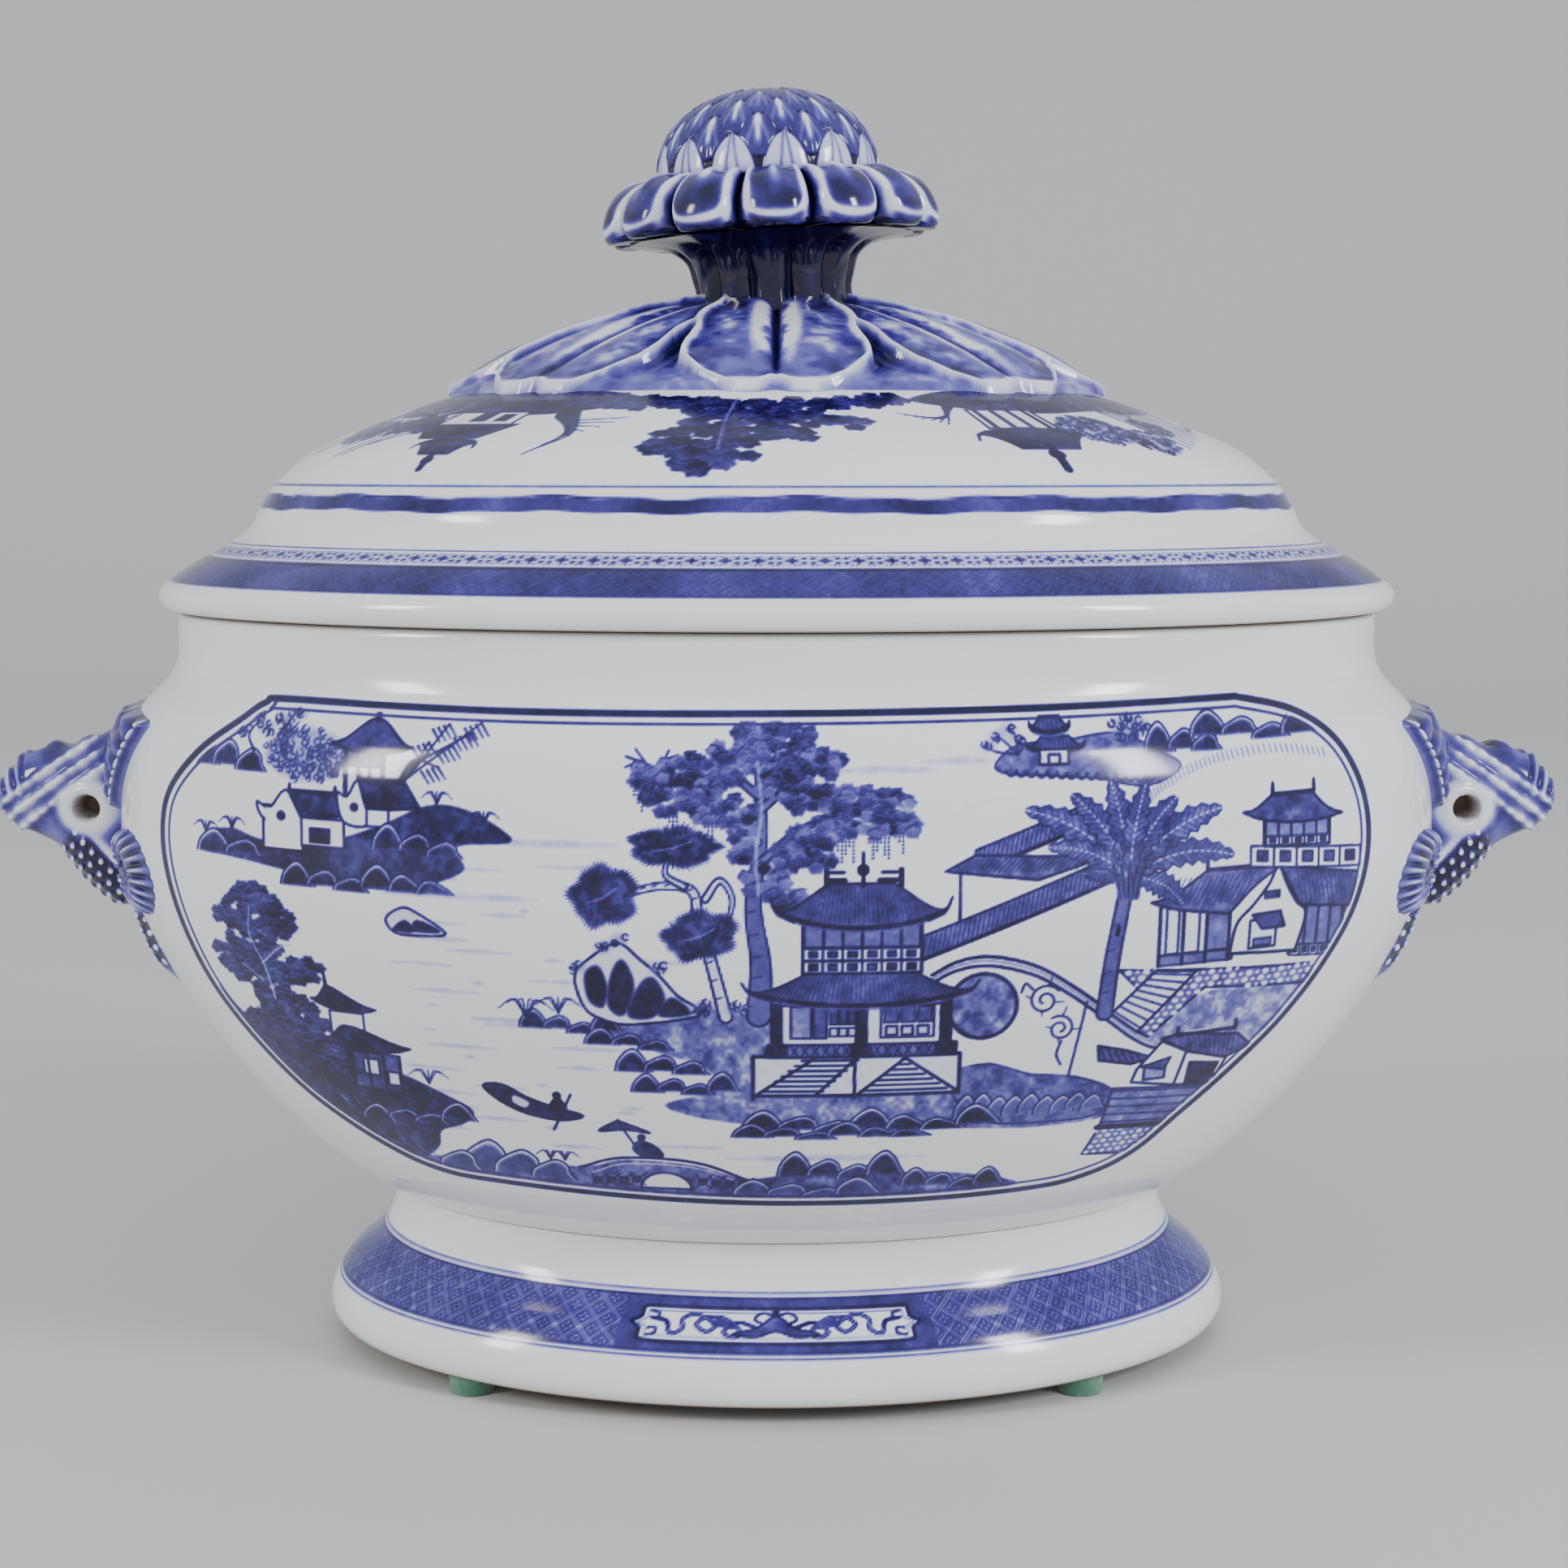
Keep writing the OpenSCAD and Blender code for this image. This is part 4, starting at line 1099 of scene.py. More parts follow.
def footCard():
    s = newSheet(-36, -8, 72, 16, 0.2)
    fill(s, [(-36, -8), (36, -8), (36, 8), (-36, 8)], 0.62, uneven=0.2)
    half, tall = foot["card"], 4.5
    ends = []
    for side in (1, -1):
        lobes = rounded([(side * (half - 5), side * -tall), (side * (half - 1.5), side * -(tall - 0.4)),
                         (side * (half - 1.3), side * -1.6), (side * (half + 0.6), 0),
                         (side * (half - 1.3), side * 1.6), (side * (half - 1.5), side * (tall - 0.4)),
                         (side * (half - 5), side * tall)], 5)
        ends.append(lobes)
    card = np.vstack(ends)
    fill(s, card, 0.0, uneven=0)
    stroke(s, np.vstack([card, card[:1]]), 0.8, 0.9)
    stroke(s, np.vstack([card, card[:1]]) * (0.955, 0.72), 0.35, 0.5, strength=0.8)
    fill(s, card * (0.93, 0.66), 0.0, uneven=0)
    for side in (1, -1):  # ribbons and cloud heads
        ribbon = rounded([(side * 4, -0.6), (side * 8, 0.8), (side * 11, -1.6), (side * 9, -3),
                          (side * 7.4, -1.6),
                          (side * 11, 1.8), (side * 15, 2.0), (side * 17, 0), (side * 14.6, -1.8),
                          (side * 13, 0.2),
                          (side * 17, 2.6), (side * 20, 1.6), (side * 20, -1.4), (side * 22.4, -2.4),
                          (side * 23.6, 0.6), (side * 26.4, 1.2)], 5)
        stroke(s, ribbon, 0.95, 0.82)
        stroke(s, ribbon[6:-8], 0.35, 0.35)
        hook = rounded([(side * 27.4, 3.2), (side * 25.6, 2.6), (side * 25.8, 1.2), (side * 27.2, 1.4)], 4)
        stroke(s, hook, 0.6, 0.8)
        stroke(s, hook * (1, -1), 0.6, 0.8)
        fill(s, rounded([(side * 7.5, -0.4), (side * 12, 1.8), (side * 14, 0.2), (side * 10, -0.9)], 4, True),
             0.6)
    fill(s, rounded([(-9, -2.2), (-4, -0.6), (0, 2.6), (4, -0.6), (9, -2.2), (4, -2.8), (0, -1.4),
                     (-4, -2.8)], 4, True),
         0.62, outline=(0.5, 0.95))
    dot(s, 0, 3.5, 0.8, 0.95)
    for side in (-1, 1):
        stroke(s, rounded([(0, 2.4), (side * 2.8, 3.3), (side * 4.6, 1.8), (side * 3, 0.6)], 5), 0.6, 0.9)
    return s


def makeFoot():
    outer = footOutline()
    inner = pushed(outer[3:], foot["wall"])
    inner = inner[inner[:, 1] > padTop + 1.2]
    low, high = foot["band"]
    dense = evenly(outer, 0.45)
    loose = evenly(join(np.array([(89, 36.35), (83.5, 36.35)]), inner[::-1][1:], np.array([(90.5, 4.5)])),
                   2.2)
    line = np.vstack([dense, loose[1:]])
    angles = ovalRing(foot["columns"])
    outside = np.arange(len(line)) < len(dense)
    length = np.r_[0, np.cumsum(np.hypot(*np.diff(line, axis=0).T))]
    atLow = np.interp(low, dense[:, 1], length[:len(dense)])
    atHigh = np.interp(high, dense[:, 1], length[:len(dense)])
    v = (length - (atLow + atHigh) / 2)[:, None]
    half = (atHigh - atLow) / 2
    turns = ringLength(angles)
    around = 97.5 * 2 * math.pi * math.sqrt((1 + planRatio ** 2) / 2)
    cells = round(around / foot["cell"])
    u = (turns * around)[None, :]
    fromFront = (np.mod(turns + 0.25, 0.5) - 0.25)[None, :] * around
    ground = 0.64 - 0.36 * lattice(u * cells * foot["cell"] / around, v, foot["cell"])
    card = readSheet(cardSheet, fromFront * np.ones_like(v), v * np.ones_like(fromFront))
    inCard = np.abs(fromFront) < foot["card"] + 3
    inside = np.clip((half - np.abs(v)) / 0.3 + 0.5, 0, 1)
    ink = inside * np.where(inCard, card, ground)
    ink = np.maximum(ink, 0.85 * np.exp(-((np.abs(v) - half) / 0.35) ** 2))
    ink = np.maximum(ink, 0.5 * np.exp(-((np.abs(v) - half - 1.3) / 0.28) ** 2))
    ink = ink * outside[:, None]
    sole = ((line[:, 1] < padTop + 0.45) & (line[:, 0] > 90)).astype(float)
    # the outer face blends part way to biscuit brown over its lowest 2.2 mm, browner towards the bottom
    brownTinge = 0.35 * np.clip((padTop + 2.2 - line[:, 1]) / 2.2, 0, 1) * outside
    piece = skin("footRing", turned(line, angles), {"cobalt": ink, "bare": np.maximum(sole, brownTinge)[:, None]},
                 paintedGlaze, "tureen", closed=True)
    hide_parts("foot_stand")


cardSheet = footCard()
makeFoot()
print("foot made")


# cover: borders by formula, small views painted heads-down towards the rim

cover = {"wall": 5, "columns": 1650, "star": 6.8, "cell": 6.2}


def coverOutline():
    return join(np.array([(124, lipZ), (136, lipZ)]),
                curve((136, lipZ), (140.2, lipZ), (140.8, 172.6), (136.8, 174), 30),
                curve((136.8, 174), (134, 176.2), (131, 178.3), (128, 179.6), 20),
                np.array([(128, 179.6), (125, 181.6)]),
                curve((125, 181.6), (120.5, 183.6), (118, 186), (117, 189.5), 24),
                np.array([(117, 189.5), (114, 194.5)]),
                curve((114, 194.5), (111, 197.5), (107.5, 202), (98.6, 205.6), 30),
                curve((98.6, 205.6), (76, 215), (50, 222.5), (30, crownZ), 60))


def smallViews():
    s = newSheet(-142, -3, 284, 52, 0.25)
    # upright here: the foot of each view is next to the leaves
    foliage(s, [(-27, 8, 6, 3), (-17, 10.5, 7.5, 3.6), (-5, 12, 8, 4.2), (8, 13, 8, 4.6), (20, 12, 8, 4.4),
                (32, 10.5, 8, 4), (42, 8, 6, 3), (3, 19, 6.5, 4.6), (12, 21, 6, 5), (-6, 21, 6, 3.6),
                (-13, 23, 5, 3),
                (5, 27, 8.5, 4.6), (15, 30, 7.5, 4.6), (-2, 29, 5, 3.4), (18, 35, 5.5, 4), (9, 36, 6.5, 4),
                (13, 41, 5, 3.2)], 0.7, 1.0, 2.2)
    stroke(s, rounded([(9, 8), (10, 20), (10, 36)]), 0.8, 0.3, strength=0.7)
    # island with two cottages and windblown trees
    mass(s, [(30, 9), (42, 15), (56, 18), (72, 16), (90, 18), (110, 18), (123, 11), (114, 4), (86, 1),
             (50, 2)], 0.84, 0.4)
    scribble(s, 104, 27, 8.5, 6.5, 0.92)
    scribble(s, 114, 22, 6.5, 5.5, 0.92)
    foliage(s, [(95, 25, 6.5, 4.4), (88, 21, 5.5, 3.6), (82, 24, 4.5, 3)], 0.7, 1.0, 2.0)
    box(s, 57, 16, 79, 24, 0.04, 0.7)
    fill(s, [(55, 23.5), (82, 23.5), (76, 31), (60, 31)], 0.88, outline=(0.6, 1))
    box(s, 66, 16, 71, 21.5, 0.9, 0.3)
    box(s, 60, 17.5, 63.5, 21.5, 0.9, 0.3)
    roof(s, 66, 32, 15, 6, 0.9)
    stroke(s, [(66, 37), (66, 43)], 1.5, 0.97)
    dot(s, 66, 40, 1.4, 0.97)
    for k in range(8):
        stroke(s, rounded([(50 - 0.7 * k, 14), (46 - 0.9 * k, 21 + 1.1 * k), (31 + 2.1 * k, 20 + 2.6 * k)]),
               0.9, 0.9,
               ends=(1, 0.3))
    for k in range(11):
        stroke(s, rounded([(80 + 3.2 * k, 18), (84 + 3.1 * k, 28), (93 + 2.9 * k, 35 + 4 * math.sin(k))]),
               0.95, 0.85,
               ends=(1, 0.4))
    humps(s, 84, 120, 11, 7, 5, 0, 0.9)
    # pavilion, bushes and long reeds
    mass(s, [(-123, 12), (-104, 17), (-84, 15), (-64, 17), (-46, 15), (-32, 9), (-50, 2), (-84, 1),
             (-112, 4)], 0.84, 0.4)
    box(s, -60, 15, -43, 26, 0.05, 0.8)
    posts(s, -58, -45, 15, 26, 4, 1.3)
    roof(s, -51.5, 27, 25, 9, 0.9)
    stroke(s, [(-51.5, 34), (-51.5, 43)], 1.8, 0.97)
    dot(s, -51.5, 38, 1.7, 0.97)
    scribble(s, -70, 26, 9.5, 8, 0.92)
    scribble(s, -82, 32, 7, 6, 0.95)
    scribble(s, -92, 25, 6, 5, 0.9)
    for k in range(7):
        stroke(s, rounded([(-41 + 0.4 * k, 13), (-38 + 0.5 * k, 17 + 0.6 * k), (-35 + 1.5 * k,
                                                                                24 - 1.1 * k)]), 0.8, 0.9,
               ends=(1, 0.3))
    for k in range(14):
        stroke(s, rounded([(-84 - 2.5 * k, 15), (-87 - 2.5 * k, 25), (-91 - 2.6 * k, 36 - 1.1 * k)]), 1.0,
               0.85,
               ends=(1, 0.4))
    humps(s, -120, -82, 12, 6, 5, 0, 0.9)
    return s


def makeCover():
    outer = coverOutline()
    inner = pushed(outer[34:], cover["wall"])
    inner = inner[(inner[:, 1] < crownZ - cover["wall"]) & (inner[:, 1] > lipZ + 0.5)]
    inner = inner[inner[:, 0] < 124][::-1]
    dense = evenly(outer[:np.searchsorted(outer[:, 1], 216)], 0.45)
    rest = evenly(join(outer[np.searchsorted(outer[:, 1], 216):], np.array([(0.2, crownZ)])), 2.5)
    ceiling = evenly(join(np.array([(0.2, crownZ - cover["wall"]), (inner[0, 0], crownZ - cover["wall"])]),
                          inner,
                          np.array([(124, lipZ + 0.4)])), 2.5)
    line = np.vstack([dense, rest[1:], ceiling])
    angles = ovalRing(cover["columns"])
    count = len(dense)
    length = np.r_[0, np.cumsum(np.hypot(*np.diff(line, axis=0).T))]
    s = length[:, None]
    outside = (np.arange(len(line)) < count)[:, None] & (s > 18)
    turns = ringLength(angles)[None, :]
    around = 131 * 2 * math.pi * math.sqrt((1 + planRatio ** 2) / 2)

    def at(height, radius):  # arc length where the outline passes a height
        near = np.hypot(dense[:, 0] - radius, dense[:, 1] - height).argmin()
        return length[near]

    bandLow, bandHigh = at(174.1, 136.6), at(179.5, 128.1)
    starHigh = at(182.2, 123.6)
    mid, half = (bandLow + bandHigh) / 2, (bandHigh - bandLow) / 2
    u = turns * around
    weave = lattice(u, s - mid, cover["cell"])
    inBand = np.clip((half - np.abs(s - mid)) / 0.3 + 0.5, 0, 1)
    ink = inBand * (0.70 - 0.16 * weave + 0.07 * np.sin(u / 17) * np.sin(u / 5.3 + 1))
    ink = np.maximum(ink, 0.95 * np.exp(-((s - bandHigh + 0.5) / 0.75) ** 2))
    ink = np.maximum(ink, 0.75 * np.exp(-((s - bandLow - 0.4) / 0.5) ** 2))
    # row of crosses and dots between two hair lines
    starMid = (bandHigh + starHigh) / 2 + 0.2
    motifs = round(around / cover["star"])
    du = (np.mod(turns * motifs, 1) - 0.5) * cover["star"]
    dv = s - starMid
    cross = np.maximum(np.exp(-(du / 0.42) ** 2 - (dv / 1.15) ** 4),
                       np.exp(-(du / 1.5) ** 4 - (dv / 0.36) ** 2))
    side = np.abs(du) - 2.5
    cross = np.maximum(cross, np.exp(-(side / 0.55) ** 2 - ((np.abs(dv) - 0.75) / 0.4) ** 2))
    specks = 0.55 * np.clip(np.sin(u * tau / 1.15), 0, 1) * np.exp(-((np.abs(dv) - 1.55) / 0.3) ** 2)
    ink = np.maximum(ink, 0.92 * cross * (np.abs(dv) < 1.9))
    ink = np.maximum(ink, specks)
    ink = np.maximum(ink, 0.16 * (np.abs(dv) < 2.0))
    ink = np.maximum(ink, 0.55 * np.exp(-((s - starHigh - 0.5) / 0.28) ** 2))
    # belt and thread above the step
    beltLow, beltHigh, thread = at(189.9, 116.7), at(193.3, 114.8), at(195.4, 113.2)
    wobble = 0.25 * np.sin(u / 9.3) + 0.18 * np.sin(u / 3.1 + 2)
    belt = np.clip((s - beltLow - wobble) / 0.4, 0, 1) * np.clip((beltHigh + wobble - s) / 0.4, 0, 1)
    ink = np.maximum(ink, belt * (0.66 + 0.14 * np.sin(u / 21 + 1) * np.sin(u / 6.1)))
    ink = np.maximum(ink, 0.85 * np.exp(-((s - beltHigh - wobble) / 0.3) ** 2) * (0.6 + 0.4 * np.sin(u / 8)))
    ink = np.maximum(ink, 0.5 * np.exp(-((s - thread) / 0.34) ** 2))
    # the views, the same on both sides
    start = at(dense[-1, 1], dense[-1, 0])
    v = start - s + 0.5
    sweep = np.degrees(np.mod(angles + math.pi / 2, math.pi) - math.pi / 2)[None, :] * 1.57
    seen = readSheet(viewSheet, -sweep * np.ones_like(v), v * np.ones_like(sweep))
    seen = seen * (v > -1) * (v < 46)
    ink = np.maximum(ink, seen) * outside
    bare = np.where((line[:, 1] < lipZ + 0.3) & (line[:, 0] > 123), 0.8, 0.0)
    piece = skin("coverShell", turned(line, angles), {"cobalt": ink, "bare": bare[:, None]}, paintedGlaze,
                 "cover",
                 closed=True)
    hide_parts("cover_dome")


def makeFlange():
    outR, inR = flangeHigh[0], flangeHigh[0] - 4
    low, high = flangeLow[2], flangeHigh[2]
    line = join(curve((inR, low + 1), (inR, low), (outR, low), (outR, low + 1.4), 14),
                np.array([(outR, low + 1.4), (outR, high), (inR, high), (inR, low + 1)]))
    line = evenly(line, 0.8)[:-1]
    worn = 0.45 * np.clip((low + 1.2 - line[:, 1]) / 1.2, 0, 1)
    piece = skin("coverFlange", turned(line, ovalRing(360)), {"cobalt": 0.0, "bare": worn[:, None]},
                 whiteGlaze,
                 "cover", closed=True)
    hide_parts("cover_flange")


viewSheet = smallViews()
makeCover()
makeFlange()
print("cover made")


# leaves round the crown: alternate leaves lie over their neighbours

leaves = {"count": 8, "reach": 75.5, "columns": 1100, "rows": 210}


def softStep(value, low, high):
    t = np.clip((value - low) / (high - low), 0, 1)
    return t * t * (3 - 2 * t)


def bump(value, centre, width):
    return np.exp(-((value - centre) / width) ** 2)


def makeLeaves():
    angles = ovalRing(leaves["columns"])[None, :]
    r = np.linspace(19.5, 78.5, leaves["rows"])[:, None]
    outer = coverOutline()
    dome = np.interp(r, outer[::-1, 0], outer[::-1, 1])
    crest = join(curve((19, 236.0), (45, 232), (58, 225.5), (76, 216.2), 60),
                 np.array([(76, 216.2), (82, 212.4)]))
    rise = np.interp(r, crest[:, 0], crest[:, 1]) - dome
    uneven = patchy((leaves["rows"], leaves["columns"]),
                    16) * 0.6 + patchy((leaves["rows"], leaves["columns"]), 6) * 0.4
    uneven[:, -40:] = uneven[:, -40:] * np.linspace(1, 0, 40) + uneven[:, :1] * np.linspace(0, 1, 40)
    t = (r - 19.5) / (leaves["reach"] - 19.5)
    height = 0.50 * rise - 0.1
    height = height - 3.5 * softStep(r, 71.5, 76)
    ink = 1.0 - 0.66 * softStep(t, 0.62, 0.93) + 0.2 * uneven
    order = [k for k in range(leaves["count"]) if k % 2] + [k for k in range(leaves["count"]) if k % 2 == 0]
    for k in order:
        turn = np.mod(angles - k * tau / leaves["count"] + math.pi, tau) - math.pi
        stretch = np.hypot(np.cos(angles), planRatio * np.sin(angles)) * 1.04
        across = turn * r * stretch
        d = np.abs(across)
        lobe = 1 + 0.045 * np.cos(t * 16 + k)
        half = np.interp(t, (-0.1, 0.0, 0.3, 0.62, 0.8, 0.9, 0.96, 1.0),
                         (11, 12, 16, 20.5, 21, 18, 13.5, 7)) * lobe
        notch = 0.035 * bump(d, 0, 2.6)
        inside = softStep(half - d, 0, 1.3) * softStep(1.0 - notch - t, 0, 0.025)
        edge = np.minimum(half - d, (1 - notch - t) * 56)
        thin = softStep(t, 1.0, 0.72)
        top = 0.86 * rise + (1.0 if k % 2 == 0 else 0.1) * thin
        curl = (0.4 + 0.9 * thin) * bump(edge, 1.3, 1.1) - 1.6 * bump(d, 0, 1.0) * thin
        belly = 1.0 * thin * np.sin(np.clip(d / half, 0, 1) * math.pi)
        fold = np.sin(d * 0.30 + 0.9 * np.sin(t * 5 + k * 1.9) + 0.8 * uneven)
        surface = top + curl + belly + 0.22 * fold * softStep(edge, 2, 6) * softStep(d, 1,
                                                                                     4) * thin + 0.10 * uneven
        height = height * (1 - inside) + np.maximum(surface, 0.35) * inside
        shade = 0.60 + 0.26 * uneven + 0.24 * softStep(t, 0.45, 0.0) - 0.14 * fold
        shade = shade - 0.60 * bump(d, 3.6 + 1.6 * uneven, 2.0) * softStep(t, 0.02, 0.3) * softStep(t, 1.0,
                                                                                                    0.6)
        shade = shade - 0.30 * bump(d / half, 0.62, 0.2) * softStep(t, 0.25, 0.45) * softStep(t, 0.9, 0.7)
        shade = shade - 0.85 * bump(edge, 1.5, 1.15)
        shade = np.maximum(shade, 1.05 * bump(d, 0, 1.15) * softStep(t, 0.97, 0.84))
        shade = np.maximum(shade, 1.0 * bump(edge, -0.5, 0.8))
        ink = ink * (1 - inside) + np.clip(shade, 0.04, 1) * inside
    height = np.where(t > 0.975, np.minimum(height, 0.9 - 0.8 * (t - 0.975) * 56), height)
    x = r * np.sin(angles)
    y = -planRatio * r * np.cos(angles)
    z = dome + height
    points = np.stack([x, y, z], -1)[::-1]
    piece = skin("leafCollar", points, {"cobalt": np.clip(ink, 0, 1)[::-1], "bare": 0.0}, reliefGlaze,
                 "cover")
    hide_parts("cover_leaf_collar")


makeLeaves()
print("leaves made")


# knop: fluted stem, ruffle of petals and scaled bud, leaning a little

knop = {"lean": -3, "stem": 23, "ruffle": 12, "flutes": 12, "petals": 13, "scales": 13}


def leaned(points):  # stood on the crown and tipped over
    a = math.radians(knop["lean"])
    x, y, z = points[..., 0], points[..., 1], points[..., 2]
    return np.stack([x * math.cos(a) + z * math.sin(a), y, crownZ - x * math.sin(a) + z * math.cos(a)], -1)


def roundOn(profileR, profileZ, angles):
    return leaned(np.stack([profileR * np.sin(angles), -profileR * np.cos(angles), profileZ + 0 * angles],
                           -1))


def makeStem():
    line = evenly(join(np.array([(20.3, 0), (20, 1)]),
                       curve((20, 1), (17.6, 5), (16.6, 12), (19.6, 17.4), 36),
                       curve((19.6, 17.4), (21.6, 20.4), (25.5, 21.6), (31.5, 21.9), 30)), 0.4)
    angles = ovalRing(576)[None, :]
    r, z = line[:, :1], line[:, 1:]
    rib = np.abs(np.cos(angles * knop["flutes"] / 2 + 0.25)) ** 0.7
    slim = softStep(z, 0.0, 4) * (1 - 0.75 * softStep(r, 20, 29))
    double = 0.35 * np.abs(np.cos(angles * knop["flutes"] + 0.5)) * softStep(z, 3, 8)
    lump = 0.25 * np.sin(z * 0.9 + 5 * np.sin(angles * 3)) * np.sin(angles * 5)
    radius = r + 0.35 - 2.4 * (1 - rib) * slim - double * (1 - softStep(r, 21, 28)) + 0.6 * lump
    ink = 1.35 - 0.55 * rib ** 4 * (0.5 + 0.5 * np.sin(angles * 5 + z * 0.45)) - 0.3 * softStep(z, 19,
                                                                                                24) * rib
    piece = skin("flutedStem", roundOn(radius, z, angles), {"cobalt": ink, "bare": 0.0},
                 darkGlaze, "cover")
    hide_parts("knop_stem")


def makeRuffle():
    base = knop["stem"]
    top = curve((16, 12.6), (24, 12.8), (29, 12.2), (33.5, 9.6), 30)
    drop = curve((33.5, 9.6), (37.4, 7.2), (39.2, 3.4), (37.0, 0.4), 26)
    under = curve((37.0, 0.4), (35.4, -1.6), (31, -0.6), (20, -0.4), 26)
    line = evenly(join(top, drop, under), 0.38)[::-1]
    length = np.r_[0, np.cumsum(np.hypot(*np.diff(line, axis=0).T))]
    s = (length[-1] - length)[:, None]
    lip = length[-1] * 0.585
    angles = ovalRing(1040)[None, :]
    r, z = line[:, :1], line[:, 1:]
    a = np.mod(angles * knop["petals"] / tau + 0.42, 1) * 2 - 1
    gap = np.abs(a)
    lobe = np.clip(1 - gap ** 3.2, 0, 1) ** 0.5
    out = softStep(r, 22, 36)
    below = softStep(s, lip - 2, lip + 6)
    radius = r - (1 - lobe) * 6.0 * out - 1.6 * gap ** 2 * out
    margin = bump(gap, 0.74, 0.13)
    ridge = 0.55 * margin + 0.75 * bump(a, 0, 0.16) * softStep(s, lip * 0.95, lip * 0.5)
    groove = 1.9 * bump(gap, 1.0, 0.09) * softStep(r, 17, 24)
    puff = 0.9 * (1 - gap ** 2) * softStep(r, 22, 32) * (1 - below)
    height = z + (ridge + puff - groove) * (1 - below) - 1.9 * (1 - gap ** 2) * bump(s, lip, 5.5) \
        + 1.4 * gap ** 4 * bump(s, lip - 1, 6.5) + 1.0 * (1 - gap ** 2) * below * out
    uneven = 0.10 * np.sin(angles * 7 + s * 0.5) + 0.08 * np.sin(angles * 17 - s * 0.8)
    ink = 0.55 + 0.24 * softStep(s, 6, lip) + uneven
    ink = ink - 0.85 * margin * (1 - below) - 0.62 * bump(a + 0.05 * np.sin(angles * 5), 0, 0.16) \
        * softStep(s, lip * 0.92, lip * 0.55)
    ink = ink - 0.85 * bump(s, lip - 0.4 - 2.6 * gap ** 3, 0.95) * (gap < 0.86)
    ink = np.maximum(ink, 1.25 * bump(gap, 1.0, 0.12))
    ink = np.where(s > lip + 1.8, 1.0 - 0.35 * bump(gap, 0.5, 0.2) + uneven, ink)
    piece = skin("petalRuffle", roundOn(radius, height + base, angles),
                 {"cobalt": np.clip(ink, 0.05, 1.3), "bare": 0.0},
                 reliefGlaze, "cover")
    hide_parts("knop_calyx")


def makeBud():
    base = knop["stem"] + knop["ruffle"]
    line = evenly(join(np.array([(23.6, -0.8), (24.4, 0)]),
                       curve((24.4, 0), (25.2, 12), (15.5, 19.4), (0.15, 20.4), 60)),
                  0.3)
    length = np.r_[0, np.cumsum(np.hypot(*np.diff(line, axis=0).T))]
    s = length[:, None] - 0.9
    angles = ovalRing(720)[None, :]
    n = knop["scales"]
    pitch = 6.6
    turn = angles * n / tau + 0.15
    relief = np.zeros((len(line), angles.size))
    ink = np.full(relief.shape, 1.0)
    for k in range(5):  # upper rows first, so each row's points lie over the next
        j = 4 - k
        d = np.abs(np.mod(turn + 0.5 * (j % 2), 1) - 0.5)
        low, high = j * pitch * 0.80 - 1.2 * (j > 0), j * pitch * 0.80 + 8.6
        t = (s - low) / (high - low)
        wide = 0.47 * np.sqrt(np.clip(1 - np.clip(t, 0, 1) ** 1.5, 0, 1)) * softStep(t, -0.12, 0.02)
        inside = softStep(wide - d, 0, 0.05) * (t < 1) * (t > -0.12)
        rise = (0.6 if j < 3 else 0.3) * (1 - 0.4 * t) * np.clip((wide - d) / 0.2, 0, 1) ** 0.5
        rib = bump(d, 0, 0.05) + bump(d, 0.2 * (1 - t), 0.045)
        if j == 0:
            shade = 0.10 + 0.22 * bump(d, 0.10 * (1.2 - t), 0.035) + 0.15 * softStep(t, 0.3, 0.0)
        else:
            pale = 0.56 if j < 3 else 0.3
            shade = 0.62 - pale * bump(d, 0, 0.07) * softStep(t, 0.05, 0.4) * softStep(t, 1.0, 0.8) \
                - 0.22 * bump(d, 0.27 * (1 - t), 0.05)
        shade = np.maximum(shade, 0.98 * bump(wide - d, 0.0, 0.05))
        relief = relief * (1 - inside) + (rise + 0.12 * rib) * inside
        ink = ink * (1 - inside) + shade * inside
    ink = np.where(s < 0.25, 0.85, ink)
    r, z = line[:, :1], line[:, 1:]
    slope = np.gradient(line, axis=0)
    slope /= np.hypot(slope[:, 0], slope[:, 1])[:, None]
    fade = np.clip(r / 6, 0, 1)
    radius = r + relief * slope[:, 1:] * fade
    height = z - relief * slope[:, :1] * fade
    piece = skin("scaledBud", roundOn(radius, height + base, angles),
                 {"cobalt": np.clip(ink, 0.03, 1), "bare": 0.0},
                 reliefGlaze, "cover", ends=(False, True))
    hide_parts("knop_bud")


darkGlaze = glazeFinish("near black cobalt", wear=0.1)
makeStem()
makeRuffle()
makeBud()
print("knop made")


# handles: a beast's head each side, with mane, ears and beard sprigged on the wall

beast = {"columns": 300, "rows": 210, "eye": (155.8, 122.6), "eyeR": 2.8}


def wallX(y, z):  # the bowl's outer face at a height and a depth
    outer = bowlOutline()
    r = np.interp(z, outer[:, 1], outer[:, 0])
    return np.sqrt(np.maximum(r * r - (y / planRatio) ** 2, 0))


